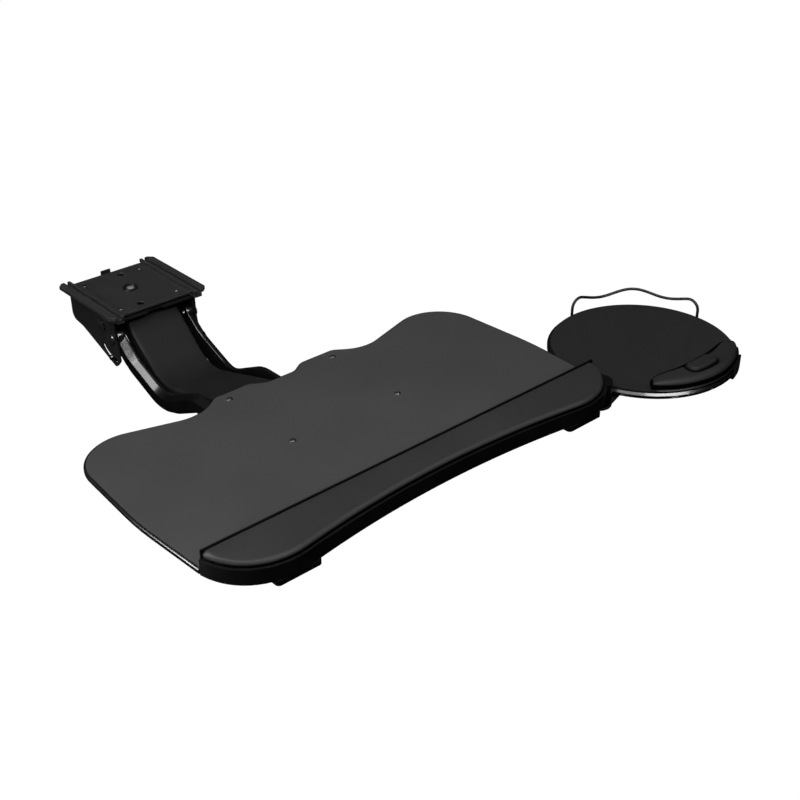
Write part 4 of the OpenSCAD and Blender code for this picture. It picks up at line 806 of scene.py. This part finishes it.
# Section loop: up the left lip, round, across the top, round, down the right lip and back along the inside
def channelSection():
    s = channelShape
    arc = quarterTurn(7)
    r, h, t = s["round"], s["half"], s["sheet"]
    count = s["topPoints"]
    outer = np.vstack([[[-h, -s["lip"]]], np.stack([-h + r - r * np.cos(arc), -r + r * np.sin(arc)], -1),
                       np.stack([np.linspace(-h + r, h - r, count)[1:-1], np.zeros(count - 2)], -1),
                       np.stack([h - r + r * np.sin(arc), -r + r * np.cos(arc)], -1), [[h, -s["lip"]]]])
    q = r - t
    inner = np.vstack([[[h - t, -s["lip"]]], np.stack([h - r + q * np.cos(arc), -r + q * np.sin(arc)], -1),
                       np.stack([np.linspace(h - r, -h + r, count)[1:-1], np.full(count - 2, -t)], -1),
                       np.stack([-h + r - q * np.sin(arc), -r + q * np.cos(arc)], -1),
                       [[-h + t, -s["lip"]]]])
    return np.vstack([outer, inner])


# Rings square to the path, drawn in to the neck in front and with deeper lips to the rear
def channelGrid():
    s = channelShape
    path = channelPath()
    ahead = alongPath(path)
    up = np.stack([-ahead[:, 1], ahead[:, 0]], -1)
    loop = channelSection()
    widening = np.clip((path[:, 0] - s["neckAt"] + s["neckOver"]) / s["neckOver"], 0, 1)
    narrow = s["half"] - (s["neck"] + (s["half"] - s["neck"]) * widening)[:, None]
    x = np.sign(loop[None, :, 0]) * np.clip(np.abs(loop[None, :, 0]) - narrow, 0.0, None)
    rearward = np.clip((path[:, :1] - s["deepFrom"]) / s["deepOver"], 0, 1)
    onLip = loop[None, :, 1] < -(s["round"] + s["lip"]) / 2
    deeper = rearward * (s["rearLip"] - s["lip"]) * onLip
    yz = path[:, None] + up[:, None] * (loop[None, :, 1] - deeper)[..., None]
    return np.concatenate([x[..., None], yz], -1)


s = channelShape
channel = dress(gridPiece("armChannel", channelGrid(), "arm", caps=True, sharp=50), "dark_steel")
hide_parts("arm_channel")
for place, reach, label in ((pivots["arm"], s["half"], "Rear"), (pivots["armFront"], s["neck"], "Front")):
    barrel = turnedX(place, sleeveProfile(-reach, reach, s["barrel"], s["bore"], s["barrelEdge"]))
    dress(gridPiece("channel" + label + "Barrel", barrel, "arm", wrapRows=True), "dark_steel")
print("arm channel made")

# Lift springs: a round wire wound at a steady pitch about the arm pivot, with a straight leg at each end
springShape = {"start": 36.9, "length": 13.8, "radius": 7.0, "wire": 2.2, "turns": 5, "leg": 14.0,
               "perTurn": 30, "legPoints": 7, "sides": 12}


# Wire's middle: x grows with the angle on a circle about the pivot, and the legs run on along Y
def springGrid(sign):
    s = springShape
    a = np.linspace(0, 2 * math.pi * s["turns"], s["perTurn"] * s["turns"] + 1) + math.pi / 2
    x = s["start"] + s["length"] * (a - a[0]) / (a[-1] - a[0])
    out = np.stack([0 * a, np.cos(a), np.sin(a)], -1)
    coil = np.stack([x, 0 * a + pivots["arm"][0], 0 * a + pivots["arm"][1]], -1) + s["radius"] * out
    count = s["legPoints"]
    reach = np.linspace(1, 0, count + 1)[:-1, None] * np.array((0.0, s["leg"], 0.0))
    path = np.vstack([coil[:1] + reach, coil, coil[-1:] - reach[::-1]])
    side = np.vstack([np.repeat(out[:1], count, 0), out, np.repeat(out[-1:], count, 0)])
    return tubeGrid(path, side, s["wire"] / 2, s["sides"]) * (sign, 1, 1)


for sign, sideName in ((-1, "left"), (1, "right")):
    spring = dress(gridPiece(sideName + "LiftSpring", springGrid(sign), "swivel", caps=True), "spring_steel")
    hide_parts(sideName + "_lift_spring")
print("springs wound")

# Stage: a pale floor and far walls, a dome that is bright overhead, two soft lamps and three for glints
stageLook = {"floorZ": -0.6, "reach": 30.0, "wallTop": 60.0, "floorTone": 1.0, "zenith": 0.75,
             "horizon": 0.05, "key": 9.0, "front": 14.0, "barGlint": 17.0, "rimGlint": 28.0,
             "edgeGlint": 12.0, "riseFrom": 0.25, "riseTo": 0.85}
floorMesh = bpy.data.meshes.new("paleFloor")
reach = stageLook["reach"]
corners = [(-reach, -reach), (reach, -reach), (reach, reach), (-reach, reach)]
walls = [(i, (i + 1) % 4, 4 + (i + 1) % 4, 4 + i) for i in range(4)]
heights = (stageLook["floorZ"], stageLook["wallTop"])
floorMesh.from_pydata([(*corner, z) for z in heights for corner in corners], [], [(0, 1, 2, 3)] + walls)
floor = bpy.data.objects.new("paleFloor", floorMesh)
bpy.context.scene.collection.objects.link(floor)
floorMaterial, _, floorShader = startMaterial("paleFloor")
floorShader.inputs["Base Color"].default_value = (0.02, 0.02, 0.02, 1)
floorShader.inputs["Roughness"].default_value = 1.0
floorShader.inputs["Specular IOR Level"].default_value = 0.0
floorShader.inputs["Emission Color"].default_value = (1, 1, 1, 1)
floorShader.inputs["Emission Strength"].default_value = stageLook["floorTone"]
floorMesh.materials.append(floorMaterial)
floor.visible_diffuse = False
floor.visible_glossy = False
floor.visible_shadow = False

world = bpy.data.worlds.new("softDome")
bpy.context.scene.world = world
world.use_nodes = True
sky = world.node_tree
skyCoords = addNode(sky, "ShaderNodeTexCoord")
skyParts = addNode(sky, "ShaderNodeSeparateXYZ")
skyRise = addNode(sky, "ShaderNodeMapRange", {"interpolation_type": "SMOOTHSTEP"},
                  {"From Min": stageLook["riseFrom"], "From Max": stageLook["riseTo"],
                   "To Min": stageLook["horizon"], "To Max": stageLook["zenith"]})
join(sky, skyCoords.outputs["Generated"], skyParts.inputs["Vector"])
join(sky, skyParts.outputs["Z"], skyRise.inputs["Value"])
join(sky, skyRise.outputs["Result"], sky.nodes["Background"].inputs["Strength"])


# A soft lamp aimed at a point: (width, height) in metres, and a glint lamp shows in shiny faces alone
def softLamp(name, place, aim, size, power, glint=False):
    lamp = bpy.data.lights.new(name, "AREA")
    lamp.shape, lamp.energy = "RECTANGLE", power
    lamp.size, lamp.size_y = size
    holder = bpy.data.objects.new(name, lamp)
    bpy.context.scene.collection.objects.link(holder)
    holder.location = place
    holder.rotation_mode = "QUATERNION"
    holder.rotation_quaternion = (Vector(aim) - Vector(place)).to_track_quat("-Z", "Y")
    holder.visible_camera = False
    holder.visible_diffuse = not glint


softLamp("overheadLamp", (0.0, -0.3, 1.8), (0.05, -0.35, 0.0), (1.2, 1.2), stageLook["key"])
softLamp("frontLamp", (-1.05, -1.0, 1.4), (0.0, -0.4, 0.0), (1.0, 1.0), stageLook["front"])
softLamp("barGlint", (-1.36, -0.02, 1.13), (-0.05, -0.09, -0.06), (1.2, 0.6), stageLook["barGlint"], True)
softLamp("rimGlint", (0.14, -1.47, 1.29), (0.3, -0.57, -0.02), (1.2, 0.4), stageLook["rimGlint"], True)
softLamp("edgeGlint", (-0.974, -0.114, 0.136), (-0.25, -0.45, 0.0), (0.4, 0.35), stageLook["edgeGlint"],
         True)
bpy.context.scene.view_settings.view_transform = "Standard"
print("stage set")
